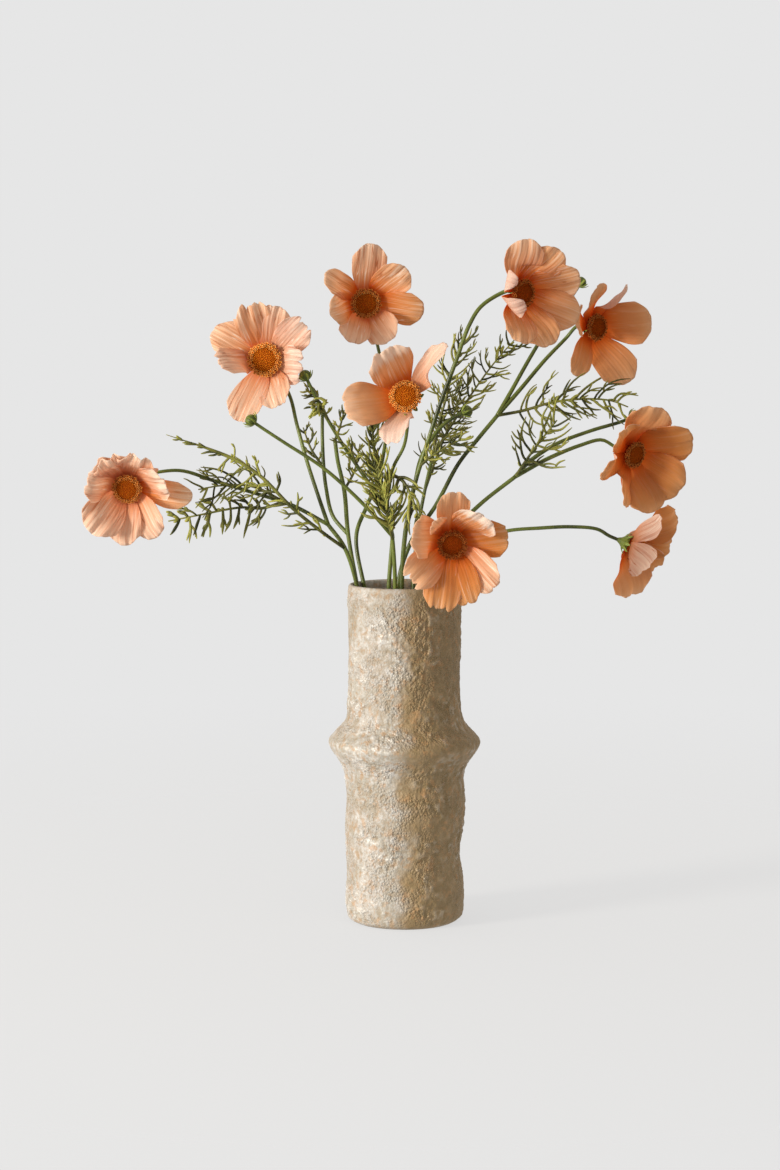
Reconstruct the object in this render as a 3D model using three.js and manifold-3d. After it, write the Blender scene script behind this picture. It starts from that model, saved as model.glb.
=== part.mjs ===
// A bouquet of peach cosmos standing in a hand-made stoneware vase with water.
// Millimetres, +Z up, origin at the centre of the vase's foot. The bouquet faces -Y, +X is its right.
import * as THREE from 'three';
import { mergeVertices } from 'three/addons/utils/BufferGeometryUtils.js';
import Module from 'manifold-3d';

const wasm = await Module();
wasm.setup();

const vec = ([x, y, z]) => new THREE.Vector3(x, y, z);
const radians = THREE.MathUtils.degToRad;

// Driving dimensions

const gap = 0.3; // air between neighbouring pieces that touch

const vase = {
  // outer wall from the foot to the rim, as [radius, height]
  outside: [[0, 0], [39, 0], [43.5, 3], [45.5, 14], [43.8, 53], [45.4, 77], [45.2, 100],
    [45.4, 113], [49, 123], [55.5, 132], [58.3, 139], [53.5, 146], [46, 155], [43.6, 170], [43, 257.5]],
  rim: [[42.2, 259.6], [40.6, 260], [39.5, 258.5]],
  // inner wall from the rim down to the floor, behind a solid collar
  inside: [[39, 130], [39.6, 20], [35, 9], [0, 9]],
  sides: 26,
  waveHeight: 75, // one swell of the hand-thrown wall
  waveDepth: 0.02, // as a share of the radius
  plainAbove: 128, // the collar and the neck above it are truer
};

const water = { level: 188, wallRadius: 39.2, holeSpace: 0.4 };

// A stalk has a ring of sides at each point of its way, and between them where it has bent this much.
const stalkSize = { foot: 1.75, fork: 1.35, top: 1.15, sides: 5, bend: radians(13) };

// Every stalk crosses the vase the same way round, so none of them meets another on its way down.
const crossing = { turn: radians(110), narrowing: 0.8, footHeight: 9.8, mouthHeight: 252 };

// The eye of a bloom: a dome of florets with a ring of open ones round it, as [radius, height, lobe]
const disc = {
  profile: [[0, 1.5, 0], [10.2, 3.7, 0.2], [12.2, 5.5, 0.6], [10.4, 7.4, 0.9],
    [8, 6, 0.1], [0, 7.8, 0]],
  sides: 16,
};

const petalForm = {
  thickness: 0.7, root: 4.4, pinwheel: 13, curl: 14, cup: 0.05,
  rows: [0, 0.24, 0.6, 1], // where the blade is creased along its length
  across: 4,
};
const petalHub = [[0, -1.2], [5.4, -1.2], [5.4, 1.1], [0, 1.1]];

// The green cup behind the petals. Every other side of one row is drawn out into a pointed sepal.
const calyx = {
  profile: [[0, -10], [3.2, -6.6], [5, -4], [4.8, -1.5], [0, -1.5]],
  sides: 16, pointedRow: 2, point: [12.5, -4.6],
};

// A bud is a globe of this radius with six bracts under it, its profile in shares of the radius.
const bud = {
  radius: 4.6, profile: [[0, -1.1], [0.8, -0.6], [1, 0.1], [0.65, 0.8], [0, 1]],
  sides: 12, pointedRow: 1, point: [1.8, -0.35],
};

// Feathered leaves, thread-like and forked
const frondForm = {
  ribWidth: 1.9, leafletWidth: 1.3, thickness: 0.9,
  leaning: [0.507, 0.862], // which way a leaflet leaves its rib: forward, out
  lean: 0.35, // how far it leans out of the frond's face, as a share of its reach
};

// Blooms: the middle of the petal ring, the way the bloom looks, and its petals as
// [clock angle, lift, length, width, turn about its own rib], angles in degrees
const blooms = [
  { name: 'left', at: [-208, -25, 336], looks: [-0.08, -0.96, -0.28], petals: [
    [150, 46, 40, 30, 0], [107, 37, 40, 29, 0], [65, 33, 40, 31, 0], [19, 33, 42, 30, 0],
    [346, 4, 51, 25, 0], [228, 46, 48, 29, 0], [265, 32, 47, 27, 0], [303, 30, 47, 28, 0]] },
  { name: 'upper_left', at: [-105, 0, 430], looks: [-0.15, -0.98, 0.12], petals: [
    [102, 30, 49, 30, 0], [74, 23, 46, 27, 0], [39, 19, 46, 27, 0], [348, 35, 40, 30, 0],
    [292, 26, 45, 27, 0], [249, 15, 54, 29, 0], [186, 46, 46, 26, 25], [150, 6, 49, 27, 0]] },
  { name: 'top', at: [-30, 40, 474], looks: [0.1, -0.98, -0.15], petals: [
    [130, 24, 45, 22, 30], [180, 46, 42, 27, 0], [245, 45, 42, 25, 0], [303, 43, 43, 28, 0],
    [354, 19, 48, 27, 0], [44, 23, 46, 29, 0], [86, 11, 49, 28, 0]] },
  { name: 'middle', at: [1, -50, 403], looks: [-0.1, -0.95, 0.25], petals: [
    [193, 19, 50, 37, 0], [115, 43, 46, 36, 0], [50, 27, 50, 28, 76], [263, 33, 46, 28, -76]] },
  { name: 'top_right', at: [86, -11, 481], looks: [0.52, -0.85, -0.08], petals: [
    [103, 26, 48, 31, -15], [66, 38, 48, 31, -12], [22, 38, 49, 30, 0], [335, 28, 51, 30, 0],
    [290, 34, 49, 29, 0], [252, 35, 46, 27, 0], [210, 46, 44, 24, 0], [156, 34, 44, 25, 0]] },
  { name: 'back_right', at: [145, 44, 455], looks: [0.61, -0.79, -0.05], petals: [
    [11, 48, 48, 36, 0], [293, 28, 53, 33, 0], [240, 8, 44, 19, 0], [70, 38, 46, 20, 50],
    [113, 34, 44, 26, 0], [167, 31, 44, 24, 0]] },
  { name: 'right', at: [170, -16, 361], looks: [0.6, -0.77, -0.22], petals: [
    [98, 26, 46, 32, -35], [30, 42, 50, 34, 0], [320, 40, 50, 32, 0], [282, 32, 49, 28, 0],
    [248, 30, 46, 21, 40], [205, 18, 41, 24, 0], [148, 22, 39, 26, -20]] },
  { name: 'low_right', at: [172, 4, 290], looks: [0.91, 0.12, -0.38], petals: [
    [141, 24, 46, 30, 0], [200, 28, 46, 33, 0], [275, 26, 50, 33, 48], [330, 42, 46, 31, 30],
    [28, 44, 44, 29, 10], [80, 34, 46, 30, -40]] },
  { name: 'front', at: [34, -80, 298], looks: [0.08, -0.98, -0.18], petals: [
    [90, 16, 42, 24, 0], [56, 36, 42, 28, 0], [13, 26, 44, 29, 0], [318, 33, 50, 28, 0],
    [285, 34, 47, 26, 0], [255, 31, 48, 27, 0], [216, 30, 44, 27, 0], [163, 38, 40, 27, 12],
    [124, 30, 38, 20, 0]] },
];

// Stems. mouth is where a stalk crosses the mouth of the vase, and rises is its way up from there.
// A branch leaves the point of that way that it starts with, and ends in a bloom, in a bud or plainly.
// A frond is a feathered leaf: its rib, how many leaflets it has and how far they reach.
const stems = [
  { name: 'left', mouth: [-34.4, -9],
    rises: [[-45, -12, 288], [-58, -8, 306]],
    branches: [
      { way: [[-58, -8, 306], [-85, -2, 320], [-116, 0, 330], [-145, -2, 339], [-172, -5, 347]],
        bloom: 'left' },
      { way: [[-58, -8, 306], [-67, -4, 332], [-75, 4, 356], [-82, 10, 381], [-88, 14, 404]],
        bloom: 'upper_left' }],
    fronds: [
      { rib: [[-45, -12, 288], [-62, -20, 301], [-84, -22, 319], [-108, -20, 343], [-126, -20, 355],
        [-147, -22, 364], [-179, -26, 375]], leaflets: 10, reach: 20, droop: 0.5 },
      { rib: [[-92, -2, 323], [-115, -10, 335], [-138, -14, 336], [-156, -14, 333]], leaflets: 7,
        reach: 25, droop: 0 },
      { rib: [[-92, -2, 323], [-109, 12, 317], [-126, 20, 317], [-157, 26, 311], [-182, 26, 306]],
        leaflets: 8, reach: 20, droop: 0.5 }] },
  { name: 'leafy', mouth: [-35, 7],
    rises: [[-43, 9, 297], [-46, 10, 331], [-51, 10, 354], [-53, 10, 369]],
    branches: [
      { way: [[-43, 9, 297], [-55, 16, 311], [-60, 22, 331], [-62, 26, 347], [-63, 27, 369], [-63, 27, 392]] }],
    fronds: [
      { rib: [[-46, 10, 331], [-38, 16, 346], [-34, 20, 366]], leaflets: 4, reach: 11, droop: 0 },
      { rib: [[-53, 10, 369], [-49, 12, 380], [-46, 14, 392]], leaflets: 4, reach: 9, droop: 0 },
      { rib: [[-62, 26, 347], [-72, 30, 362], [-78, 32, 378]], leaflets: 4, reach: 11, droop: 0 },
      { rib: [[-63, 27, 392], [-68, 26, 402], [-76, 26, 408]], leaflets: 5, reach: 9, droop: 0.3 }] },
  { name: 'top', mouth: [-30, 19],
    rises: [[-37, 27, 295], [-29, 32, 317], [-21, 38, 336], [-14, 46, 372], [-15, 54, 410], [-22, 60, 446]],
    bloom: 'top',
    fronds: [
      { rib: [[-18, 41, 350], [-24, 32, 366], [-22, 30, 386], [-14, 32, 398]], leaflets: 5, reach: 13,
        droop: 0 }] },
  { name: 'middle', mouth: [-7, -26],
    rises: [[-9, -31, 296], [-13, -36, 326], [-9, -40, 350], [0, -41, 369]],
    bloom: 'middle',
    fronds: [
      { rib: [[-9, -31, 296], [-15, -42, 315], [-20, -48, 336], [-27, -50, 355]], leaflets: 10, reach: 19,
        droop: 0 },
      { rib: [[-10, -39, 346], [-1, -50, 341], [7, -56, 325], [11, -58, 311]], leaflets: 5, reach: 13,
        droop: 0.2 }] },
  { name: 'buds', mouth: [-12, -6],
    rises: [[-9, -8, 297]],
    branches: [
      { way: [[-9, -8, 297], [-28, -17, 319], [-60, -24, 349], [-90, -28, 369], [-108, -30, 381]],
        bud: [-115, -31, 386] },
      { way: [[-9, -8, 297], [-14, -6, 318], [-26, -8, 336], [-48, -12, 369], [-62, -13, 393],
        [-71, -15, 411]], bud: [-75, -16, 419] }],
    fronds: [
      { rib: [[-58, -13, 386], [-64, -18, 398], [-70, -20, 394]], leaflets: 4, reach: 10, droop: 0.3 },
      { rib: [[-36, -10, 351], [-41, -15, 362], [-50, -18, 372]], leaflets: 4, reach: 9, droop: 0 }] },
  { name: 'top_right', mouth: [-2, 13],
    rises: [[1, 11, 300], [8, 7, 336], [17, 3, 366], [28, -1, 400], [39, -4, 430], [49, -4, 457],
      [58, -3, 471]],
    bloom: 'top_right',
    branches: [
      { way: [[8, 7, 336], [13, 12, 356], [27, 16, 378], [39, 17, 387]], bud: [48, 17, 391] }],
    fronds: [
      { rib: [[12, 5, 350], [21, -3, 358], [34, -6, 366], [44, -7, 371]], leaflets: 5, reach: 12, droop: 0 }] },
  { name: 'back_right', mouth: [-5, 31],
    rises: [[5, 31, 289], [24, 33, 317], [42, 35, 350], [57, 37, 369], [72, 39, 387]],
    branches: [
      { way: [[72, 39, 387], [90, 46, 407], [110, 56, 430], [126, 64, 446]], bloom: 'back_right' },
      { way: [[72, 39, 387], [82, 44, 404], [102, 58, 438], [122, 76, 467], [134, 84, 482]],
        bud: [139, 86, 490] }],
    fronds: [
      { rib: [[72, 39, 387], [92, 34, 391], [112, 28, 397], [134, 26, 400], [158, 26, 399], [172, 26, 394]],
        leaflets: 12, reach: 24, droop: 0 }] },
  { name: 'right', mouth: [12, -12],
    rises: [[28, -15, 291], [56, -17, 321], [84, -14, 343]],
    branches: [
      { way: [[84, -14, 343], [108, -11, 356], [133, -6, 366], [150, -3, 370]], bloom: 'right' },
      { way: [[84, -14, 343], [94, -4, 353], [115, 8, 366], [143, 20, 376], [168, 28, 383]],
        bud: [177, 29, 387] }],
    fronds: [
      { rib: [[84, -14, 343], [93, -24, 358], [103, -28, 372], [114, -30, 386]], leaflets: 7, reach: 24,
        droop: 0 }] },
  { name: 'low_right', mouth: [26, 3],
    rises: [[40, 3, 284], [58, 1, 295], [80, -2, 301], [103, -4, 303], [126, -4, 304], [147, -2, 302]],
    bloom: 'low_right' },
  { name: 'front', mouth: [16, -30],
    rises: [[20, -42, 280], [27, -56, 293]],
    bloom: 'front' },
  { name: 'feathery', mouth: [7, 22],
    rises: [[10, 26, 296], [16, 30, 330], [22, 34, 356]],
    fronds: [
      { rib: [[22, 34, 356], [27, 30, 382], [33, 28, 404], [39, 28, 428], [46, 28, 449]], leaflets: 9,
        reach: 21, droop: 0 },
      { rib: [[22, 34, 356], [36, 46, 378], [52, 60, 402], [70, 74, 426], [88, 84, 446]], leaflets: 13,
        reach: 20, droop: 0 },
      { rib: [[16, 30, 330], [26, 50, 356], [38, 72, 384], [48, 90, 412]], leaflets: 8, reach: 20,
        droop: 0 }] },
];

// Colours and finishes

const finish = {
  stoneware: new THREE.MeshStandardMaterial({ color: 0xcbb9a0, roughness: 0.9, metalness: 0 }),
  water: new THREE.MeshStandardMaterial({ color: 0xdfe9ea, roughness: 0.1, metalness: 0 }),
  petal: new THREE.MeshStandardMaterial({ color: 0xe8a47c, roughness: 0.7, metalness: 0 }),
  florets: new THREE.MeshStandardMaterial({ color: 0xb5611a, roughness: 0.8, metalness: 0 }),
  green: new THREE.MeshStandardMaterial({ color: 0x5d6b34, roughness: 0.6, metalness: 0 }),
};

// Solids

// One vertex at each place and no triangle without area, so that the surface closes on itself.
function closed(geometry) {
  geometry.deleteAttribute('normal');
  geometry.deleteAttribute('uv');
  const merged = mergeVertices(geometry, 1e-4);
  const corners = merged.index.array;
  const kept = [];
  for (let i = 0; i < corners.length; i += 3) {
    const [a, b, c] = [corners[i], corners[i + 1], corners[i + 2]];
    if (a !== b && b !== c && c !== a) kept.push(a, b, c);
  }
  merged.setIndex(kept);
  return merged;
}

function solidOf(geometry) {
  const shell = closed(geometry);
  return new wasm.Manifold(new wasm.Mesh({
    numProp: 3,
    vertProperties: new Float32Array(shell.attributes.position.array),
    triVerts: new Uint32Array(shell.index.array),
  }));
}

function geometryOf(solid) {
  const { vertProperties, triVerts } = solid.getMesh();
  const geometry = new THREE.BufferGeometry();
  geometry.setAttribute('position', new THREE.BufferAttribute(vertProperties, 3));
  geometry.setIndex(new THREE.BufferAttribute(triVerts, 1));
  geometry.computeVertexNormals();
  return geometry;
}

const fused = (solids) => solids.reduce((whole, piece) => whole.add(piece));

// A shape turned about the local Z axis from [radius, height] points, each corner moved by shift.
function turned(profile, sides, shift = () => {}) {
  const outline = profile.map(([radius, height]) => new THREE.Vector2(radius, height));
  const geometry = new THREE.LatheGeometry(outline, sides);
  geometry.rotateX(Math.PI / 2);
  const place = geometry.attributes.position;
  const rows = profile.length;
  for (let i = 0; i < place.count; i += 1) {
    const corner = new THREE.Vector3().fromBufferAttribute(place, i);
    shift(corner, Math.floor(i / rows), i % rows);
    place.setXYZ(i, corner.x, corner.y, corner.z);
  }
  return geometry;
}

// A round stalk along a smooth line through the points, tapering from one radius to the other.
// The rings turn with the line without twisting about it.
function stalk(points, [startRadius, endRadius], sides) {
  const line = new THREE.CatmullRomCurve3(points, false, 'centripetal');
  const count = (points.length - 1) * 4;
  const corners = [];
  const faces = [];
  let rings = 0;
  let across = new THREE.Vector3(0.31, -0.87, 0.38);
  let heading = null;
  for (let i = 0; i <= count; i += 1) {
    const along = i / count;
    const tangent = line.getTangent(along);
    across = across.clone().addScaledVector(tangent, -across.dot(tangent)).normalize();
    if (i % 4 !== 0 && tangent.angleTo(heading) < stalkSize.bend) continue;
    heading = tangent;
    rings += 1;
    const other = tangent.clone().cross(across);
    const radius = startRadius + (endRadius - startRadius) * along;
    for (let k = 0; k < sides; k += 1) {
      const turn = (2 * Math.PI * k) / sides;
      corners.push(line.getPoint(along)
        .addScaledVector(across, radius * Math.cos(turn))
        .addScaledVector(other, radius * Math.sin(turn)));
    }
  }
  for (let i = 0; i < rings - 1; i += 1) {
    for (let k = 0; k < sides; k += 1) {
      const [a, b] = [i * sides + k, i * sides + ((k + 1) % sides)];
      faces.push(a, b, a + sides, b, b + sides, a + sides);
    }
  }
  const last = (rings - 1) * sides;
  for (let k = 1; k < sides - 1; k += 1) {
    faces.push(0, k + 1, k, last, last + k, last + k + 1);
  }
  return shellOf(corners, faces);
}

function shellOf(corners, faces) {
  const geometry = new THREE.BufferGeometry().setFromPoints(corners);
  geometry.setIndex(faces);
  return geometry;
}

// A thin blade of even thickness on both sides of a surface given as a function of two parameters,
// split into the same triangles on its two faces.
function blade(surface, rows, across, thickness) {
  const step = 0.01;
  const along = rows.length - 1;
  const upper = [];
  const lower = [];
  for (let i = 0; i <= along; i += 1) {
    for (let j = 0; j <= across; j += 1) {
      const [t, s] = [rows[i], (2 * j) / across - 1];
      const lengthwise = surface(t + step, s).sub(surface(t - step, s));
      const crosswise = surface(t, s + step).sub(surface(t, s - step));
      const face = lengthwise.cross(crosswise).normalize().multiplyScalar(thickness / 2);
      upper.push(surface(t, s).add(face));
      lower.push(surface(t, s).sub(face));
    }
  }
  const row = across + 1;
  const under = upper.length;
  const faces = [];
  for (let i = 0; i < along; i += 1) {
    for (let j = 0; j < across; j += 1) {
      const a = i * row + j;
      const [b, c, d] = [a + 1, a + row, a + row + 1];
      faces.push(a, c, b, b, c, d);
      faces.push(under + a, under + b, under + c, under + b, under + d, under + c);
    }
  }
  const edge = [];
  for (let j = 0; j < across; j += 1) edge.push(j);
  for (let i = 0; i < along; i += 1) edge.push(i * row + across);
  for (let j = across; j > 0; j -= 1) edge.push(along * row + j);
  for (let i = along; i > 0; i -= 1) edge.push(i * row);
  edge.forEach((a, k) => {
    const b = edge[(k + 1) % edge.length];
    faces.push(a, b, under + b, a, under + b, under + a);
  });
  return shellOf([...upper, ...lower], faces);
}

// Vase and water

// The outer wall swells out and in on one side and the other way on the opposite side, mostly low down.
// The inside is turned true.
function handThrown(corner, side, row) {
  if (row >= vase.outside.length) return;
  const { waveHeight, waveDepth, plainAbove } = vase;
  const rise = THREE.MathUtils.clamp((plainAbove - corner.z) / 30, 0, 1);
  const foot = THREE.MathUtils.clamp(corner.z / 6, 0, 1);
  const angle = Math.atan2(corner.y, corner.x);
  const swell = Math.cos(angle) * Math.sin((2 * Math.PI * corner.z) / waveHeight);
  const lean = 0.4 * Math.sin(2 * angle + corner.z / 40);
  const grow = 1 + waveDepth * (rise * swell + lean) * foot;
  corner.x *= grow;
  corner.y *= grow;
}

function makeVase() {
  const profile = [...vase.outside, ...vase.rim, ...vase.inside];
  return solidOf(turned(profile, vase.sides, handThrown));
}

function makeWater(stalks) {
  const wall = [[0, water.level], [water.wallRadius, water.level], ...vase.inside];
  const profile = wall.map(([radius, height], row) => [
    Math.max(0, radius - gap), height + (row < 2 ? 0 : gap)]);
  const body = solidOf(turned(profile.reverse(), vase.sides));
  return stalks.reduce((rest, hole) => rest.subtract(hole), body);
}

// Blooms

// Frame of a bloom: right, up and out along the way it looks.
function bloomFrame({ at, looks }) {
  const out = vec(looks).normalize();
  const right = new THREE.Vector3(0, 0, 1).cross(out).normalize();
  const up = out.clone().cross(right);
  return new THREE.Matrix4().makeBasis(right, up, out).setPosition(vec(at));
}

// A petal runs out flat under the eye, then lifts in a curve to its tip. It is widest at two thirds
// of its length, its edges cup up a little, and its tip is notched. All petals of a bloom are turned
// the same way about their ribs like the vanes of a pinwheel, so that each lies over the next.
function petalSurface([clock, lift, length, width, turn]) {
  const [angle, rise] = [radians(clock), radians(lift)];
  const out = new THREE.Vector3(Math.cos(angle), Math.sin(angle), 0);
  const side = new THREE.Vector3(-Math.sin(angle), Math.cos(angle), 0);
  const up = new THREE.Vector3(0, 0, 1);
  const tip = new THREE.Vector2(length * Math.cos(rise), length * Math.sin(rise));
  const end = rise - radians(petalForm.curl);
  const rib = new THREE.CubicBezierCurve(
    new THREE.Vector2(petalForm.root, 0),
    new THREE.Vector2(18 + 7 * Math.sin(rise), -1.6 * Math.sin(rise)),
    tip.clone().sub(new THREE.Vector2(Math.cos(end), Math.sin(end)).multiplyScalar(length * 0.42)),
    tip);
  return (t, s) => {
    const reach = 0.98 - 0.13 * Math.abs(s) ** 2.6 - 0.025 * Math.cos(2 * Math.PI * s);
    const along = t * reach;
    const place = rib.getPoint(along);
    const slope = rib.getTangent(THREE.MathUtils.clamp(along, 0, 1));
    const half = (width / 2) * (0.14 + 0.86 * Math.sin(0.68 * Math.PI * Math.max(along, 0) ** 1.05));
    const spread = THREE.MathUtils.smoothstep(along, 0.25, 0.6);
    const twist = radians(petalForm.pinwheel) + radians(turn) * spread;
    const face = up.clone().multiplyScalar(slope.x).addScaledVector(out, -slope.y);
    const across = side.clone().multiplyScalar(Math.cos(twist)).addScaledVector(face, Math.sin(twist));
    const raised = face.clone().multiplyScalar(Math.cos(twist)).addScaledVector(side, -Math.sin(twist));
    return out.clone().multiplyScalar(place.x).addScaledVector(up, place.y)
      .addScaledVector(across, s * half)
      .addScaledVector(raised, spread * petalForm.cup * half * (s * s - 0.3));
  };
}

function makePetals(bloom) {
  const { rows, across, thickness } = petalForm;
  const hub = solidOf(turned(petalHub, 10));
  const petals = bloom.petals.map((petal) => solidOf(blade(petalSurface(petal), rows, across, thickness)));
  return fused([hub, ...petals]);
}

// The florets of the ring stand up as lobes, one for every two sides.
function makeDisc() {
  return solidOf(turned(disc.profile, disc.sides, (corner, side, row) => {
    const lobe = disc.profile[row][2] * (side % 2 === 0 ? 1 : -1);
    const grow = 1 + (0.4 * lobe) / 10;
    corner.set(corner.x * grow, corner.y * grow, corner.z + lobe * 0.6);
  }));
}

// Green parts

// Every other side of one row is drawn out to the point, so that the row becomes a star.
function starred({ profile, sides, pointedRow, point }, scale) {
  const scaled = profile.map(([radius, height]) => [radius * scale, height * scale]);
  return solidOf(turned(scaled, sides, (corner, side, row) => {
    if (row !== pointedRow || side % 2 === 1) return;
    const grow = (point[0] * scale) / Math.hypot(corner.x, corner.y);
    corner.set(corner.x * grow, corner.y * grow, point[1] * scale);
  }));
}

function makeBud(at, from) {
  const up = vec(at).sub(from).normalize();
  const turn = new THREE.Quaternion().setFromUnitVectors(new THREE.Vector3(0, 0, 1), up);
  const frame = new THREE.Matrix4().compose(vec(at), turn, new THREE.Vector3(1, 1, 1));
  return starred(bud, bud.radius).transform(frame.toArray());
}

// A gentle, repeatable unevenness between -1 and 1
const uneven = (index, seed) => Math.sin(2.4 * index + 1.7 * seed + 0.9);

// A leaflet runs forward and out from the rib, bends more towards the rib's tip half way along, and
// has a short fork on each side. Points are [along the rib, out from the rib].
function leafletLines(root, size, spacing) {
  const [forward, out] = frondForm.leaning;
  const at = (share, from = [root, 0]) => [from[0] + forward * size * share, from[1] + out * size * share];
  const elbow = at(0.5);
  const tip = [elbow[0] + out * size * 0.5, elbow[1] + forward * size * 0.5];
  const forkReach = Math.min(0.36 * size, 0.45 * spacing);
  const [backRoot, foreRoot] = [at(0.27), at(0.42)];
  return {
    elbow,
    tip,
    backFork: [backRoot, [backRoot[0] - 0.18 * forkReach, backRoot[1] + 0.98 * forkReach]],
    foreFork: [foreRoot, [foreRoot[0] + 0.98 * forkReach, foreRoot[1] + 0.15 * forkReach]],
  };
}

// The outline of one leaflet, from the side of the rib's foot round its tip to the other side.
function leafletOutline({ elbow, tip, backFork, foreFork }, root, ribHalf, forked) {
  const [forward, out] = frondForm.leaning;
  const half = frondForm.leafletWidth / 2;
  const beside = ([along, aside], shift) => [along - out * shift, aside + forward * shift];
  const onRib = root + (ribHalf * forward) / out;
  const fork = ([start, end], shift) => {
    const [near, far] = [1, -1].map((way) => [
      start[0] - forward * half * way, start[1] - out * half * way]);
    return shift > 0 ? [beside(near, shift), end, beside(far, shift)]
      : [beside(far, shift), end, beside(near, shift)];
  };
  return [
    [onRib - half / out, ribHalf],
    ...(forked ? fork(backFork, half) : []),
    beside(elbow, half * 0.8),
    tip,
    ...fork(foreFork, -half),
    [onRib + half / out, ribHalf],
  ];
}

// The strip of triangles between the two edges of a rib, given as corners in order along it.
function ribStrip(right, left) {
  const faces = [];
  let [i, j] = [0, 0];
  while (i < right.length - 1 || j < left.length - 1) {
    const onRight = j === left.length - 1
      || (i < right.length - 1 && right[i + 1].along <= left[j + 1].along);
    if (onRight) {
      faces.push([right[i], right[i + 1], left[j]]);
      i += 1;
    } else {
      faces.push([right[i], left[j + 1], left[j]]);
      j += 1;
    }
  }
  return faces;
}

// A frond is one thin blade. Its outline runs up one side of the rib and down the other, round every
// leaflet. The blade is then laid along the rib's own curve, split alike on its two faces, and each
// leaflet leans out of it by its own amount.
function makeFrond({ rib, leaflets, reach, droop }, seed) {
  const line = new THREE.CatmullRomCurve3(rib.map(vec), false, 'centripetal');
  const length = line.getLength();
  const spacing = (2 * 0.84 * length) / leaflets;
  const halfWidth = (along) => (frondForm.ribWidth / 2) * (1 - 0.5 * (along / length));
  const leafletsOf = (first, side) => {
    const rows = [];
    for (let k = first; k < leaflets; k += 2) {
      const share = 0.12 + (0.84 * (k + 0.5)) / leaflets;
      const size = reach * (0.64 + 0.5 * Math.sin(Math.PI * share)) * (1 + 0.16 * uneven(k, seed));
      const lines = leafletLines(share * length, size, spacing);
      const lean = frondForm.lean * uneven(k + 5, seed);
      rows.push(leafletOutline(lines, share * length, halfWidth(share * length), k % 4 < 2)
        .map(([along, aside]) => ({ along, aside: side * aside, lean })));
    }
    return rows;
  };
  const [right, left] = [leafletsOf(0, -1), leafletsOf(1, 1)];
  const [rightFoot, leftFoot, tip] = [[0, -halfWidth(0)], [0, halfWidth(0)], [length, 0]]
    .map(([along, aside]) => ({ along, aside, lean: 0 }));
  const outline = [rightFoot, ...right.flat(), tip, ...left.flat().reverse(), leftFoot];
  outline.forEach((corner, k) => {
    corner.number = k;
  });
  const feet = (rows) => rows.flatMap((leaflet) => [leaflet[0], leaflet[leaflet.length - 1]]);
  const split = ribStrip([rightFoot, ...feet(right), tip], [leftFoot, ...feet(left), tip])
    .filter(([a, b, c]) => a !== b && b !== c && c !== a);
  [...right, ...left.map((leaflet) => [...leaflet].reverse())].forEach((leaflet) => {
    const flat = leaflet.map(({ along, aside }) => new THREE.Vector2(along, aside));
    THREE.ShapeUtils.triangulateShape(flat, []).forEach((three) => {
      split.push(three.map((k) => leaflet[k]));
    });
  });
  const facing = new THREE.Vector3(0.12 * uneven(1, seed), -1, 0.25 * uneven(2, seed)).normalize();
  const laid = (thick) => outline.map(({ along, aside, lean }) => {
    const share = THREE.MathUtils.clamp(along / length, 0, 1);
    const tangent = line.getTangentAt(share);
    const sideways = facing.clone().cross(tangent).normalize();
    return line.getPointAt(share)
      .addScaledVector(tangent, along - share * length)
      .addScaledVector(sideways, aside)
      .addScaledVector(facing, lean * Math.abs(aside) + thick)
      .add(new THREE.Vector3(0, 0, -droop * aside * aside / reach));
  });
  const corners = [...laid(frondForm.thickness / 2), ...laid(-frondForm.thickness / 2)];
  const count = outline.length;
  const faces = [];
  split.forEach((three) => {
    const [a, b, c] = three.map((corner) => corner.number);
    faces.push(a, b, c, count + a, count + c, count + b);
  });
  for (let a = 0; a < count; a += 1) {
    const b = (a + 1) % count;
    faces.push(a, count + a, count + b, a, count + b, b);
  }
  return solidOf(shellOf(corners, faces));
}

function stemFoot([x, y]) {
  const { turn, narrowing, footHeight } = crossing;
  return new THREE.Vector3(
    narrowing * (x * Math.cos(turn) + y * Math.sin(turn)),
    narrowing * (y * Math.cos(turn) - x * Math.sin(turn)), footHeight);
}

// The way of a stem from its foot in the vase, straight to the mouth and on through its rise.
function stemWay({ mouth, rises }) {
  const foot = stemFoot(mouth);
  const top = new THREE.Vector3(mouth[0], mouth[1], crossing.mouthHeight);
  return [foot, foot.clone().lerp(top, 0.7), top, ...rises.map(vec)];
}

// A stalk bends round behind its bloom and enters it along the way the bloom looks.
function intoBloom(way, name) {
  const bloom = blooms.find((one) => one.name === name);
  const out = vec(bloom.looks).normalize();
  return [...way, vec(bloom.at).addScaledVector(out, -17), vec(bloom.at).addScaledVector(out, -5)];
}

function makeStem(stem, seed) {
  const { foot, fork, top, sides } = stalkSize;
  const parts = [];
  const addEnd = (way, end, radii) => {
    let whole = way;
    if (end.bloom) {
      whole = intoBloom(way, end.bloom);
      const bloom = blooms.find((one) => one.name === end.bloom);
      parts.push(starred(calyx, 1).transform(bloomFrame(bloom).toArray()));
    }
    if (end.bud) {
      whole = [...way, vec(end.bud)];
      parts.push(makeBud(end.bud, way[way.length - 1]));
    }
    parts.push(solidOf(stalk(whole, radii, sides)));
  };
  addEnd(stemWay(stem), stem, [foot, stem.branches ? fork : top]);
  (stem.branches ?? []).forEach((branch) => addEnd(branch.way.map(vec), branch, [fork, top]));
  (stem.fronds ?? []).forEach((frond, k) => parts.push(makeFrond(frond, seed + k)));
  return fused(parts);
}

function makeHole(stem) {
  const radius = stalkSize.foot + water.holeSpace;
  const way = stemWay(stem);
  way[0].addScaledVector(way[1].clone().sub(way[0]).normalize(), -6);
  return solidOf(stalk(way.slice(0, 3), [radius, radius], 6));
}

// Assembly

function named(name, solid, material) {
  const mesh = new THREE.Mesh(geometryOf(solid), material);
  mesh.name = name;
  return mesh;
}

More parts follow.
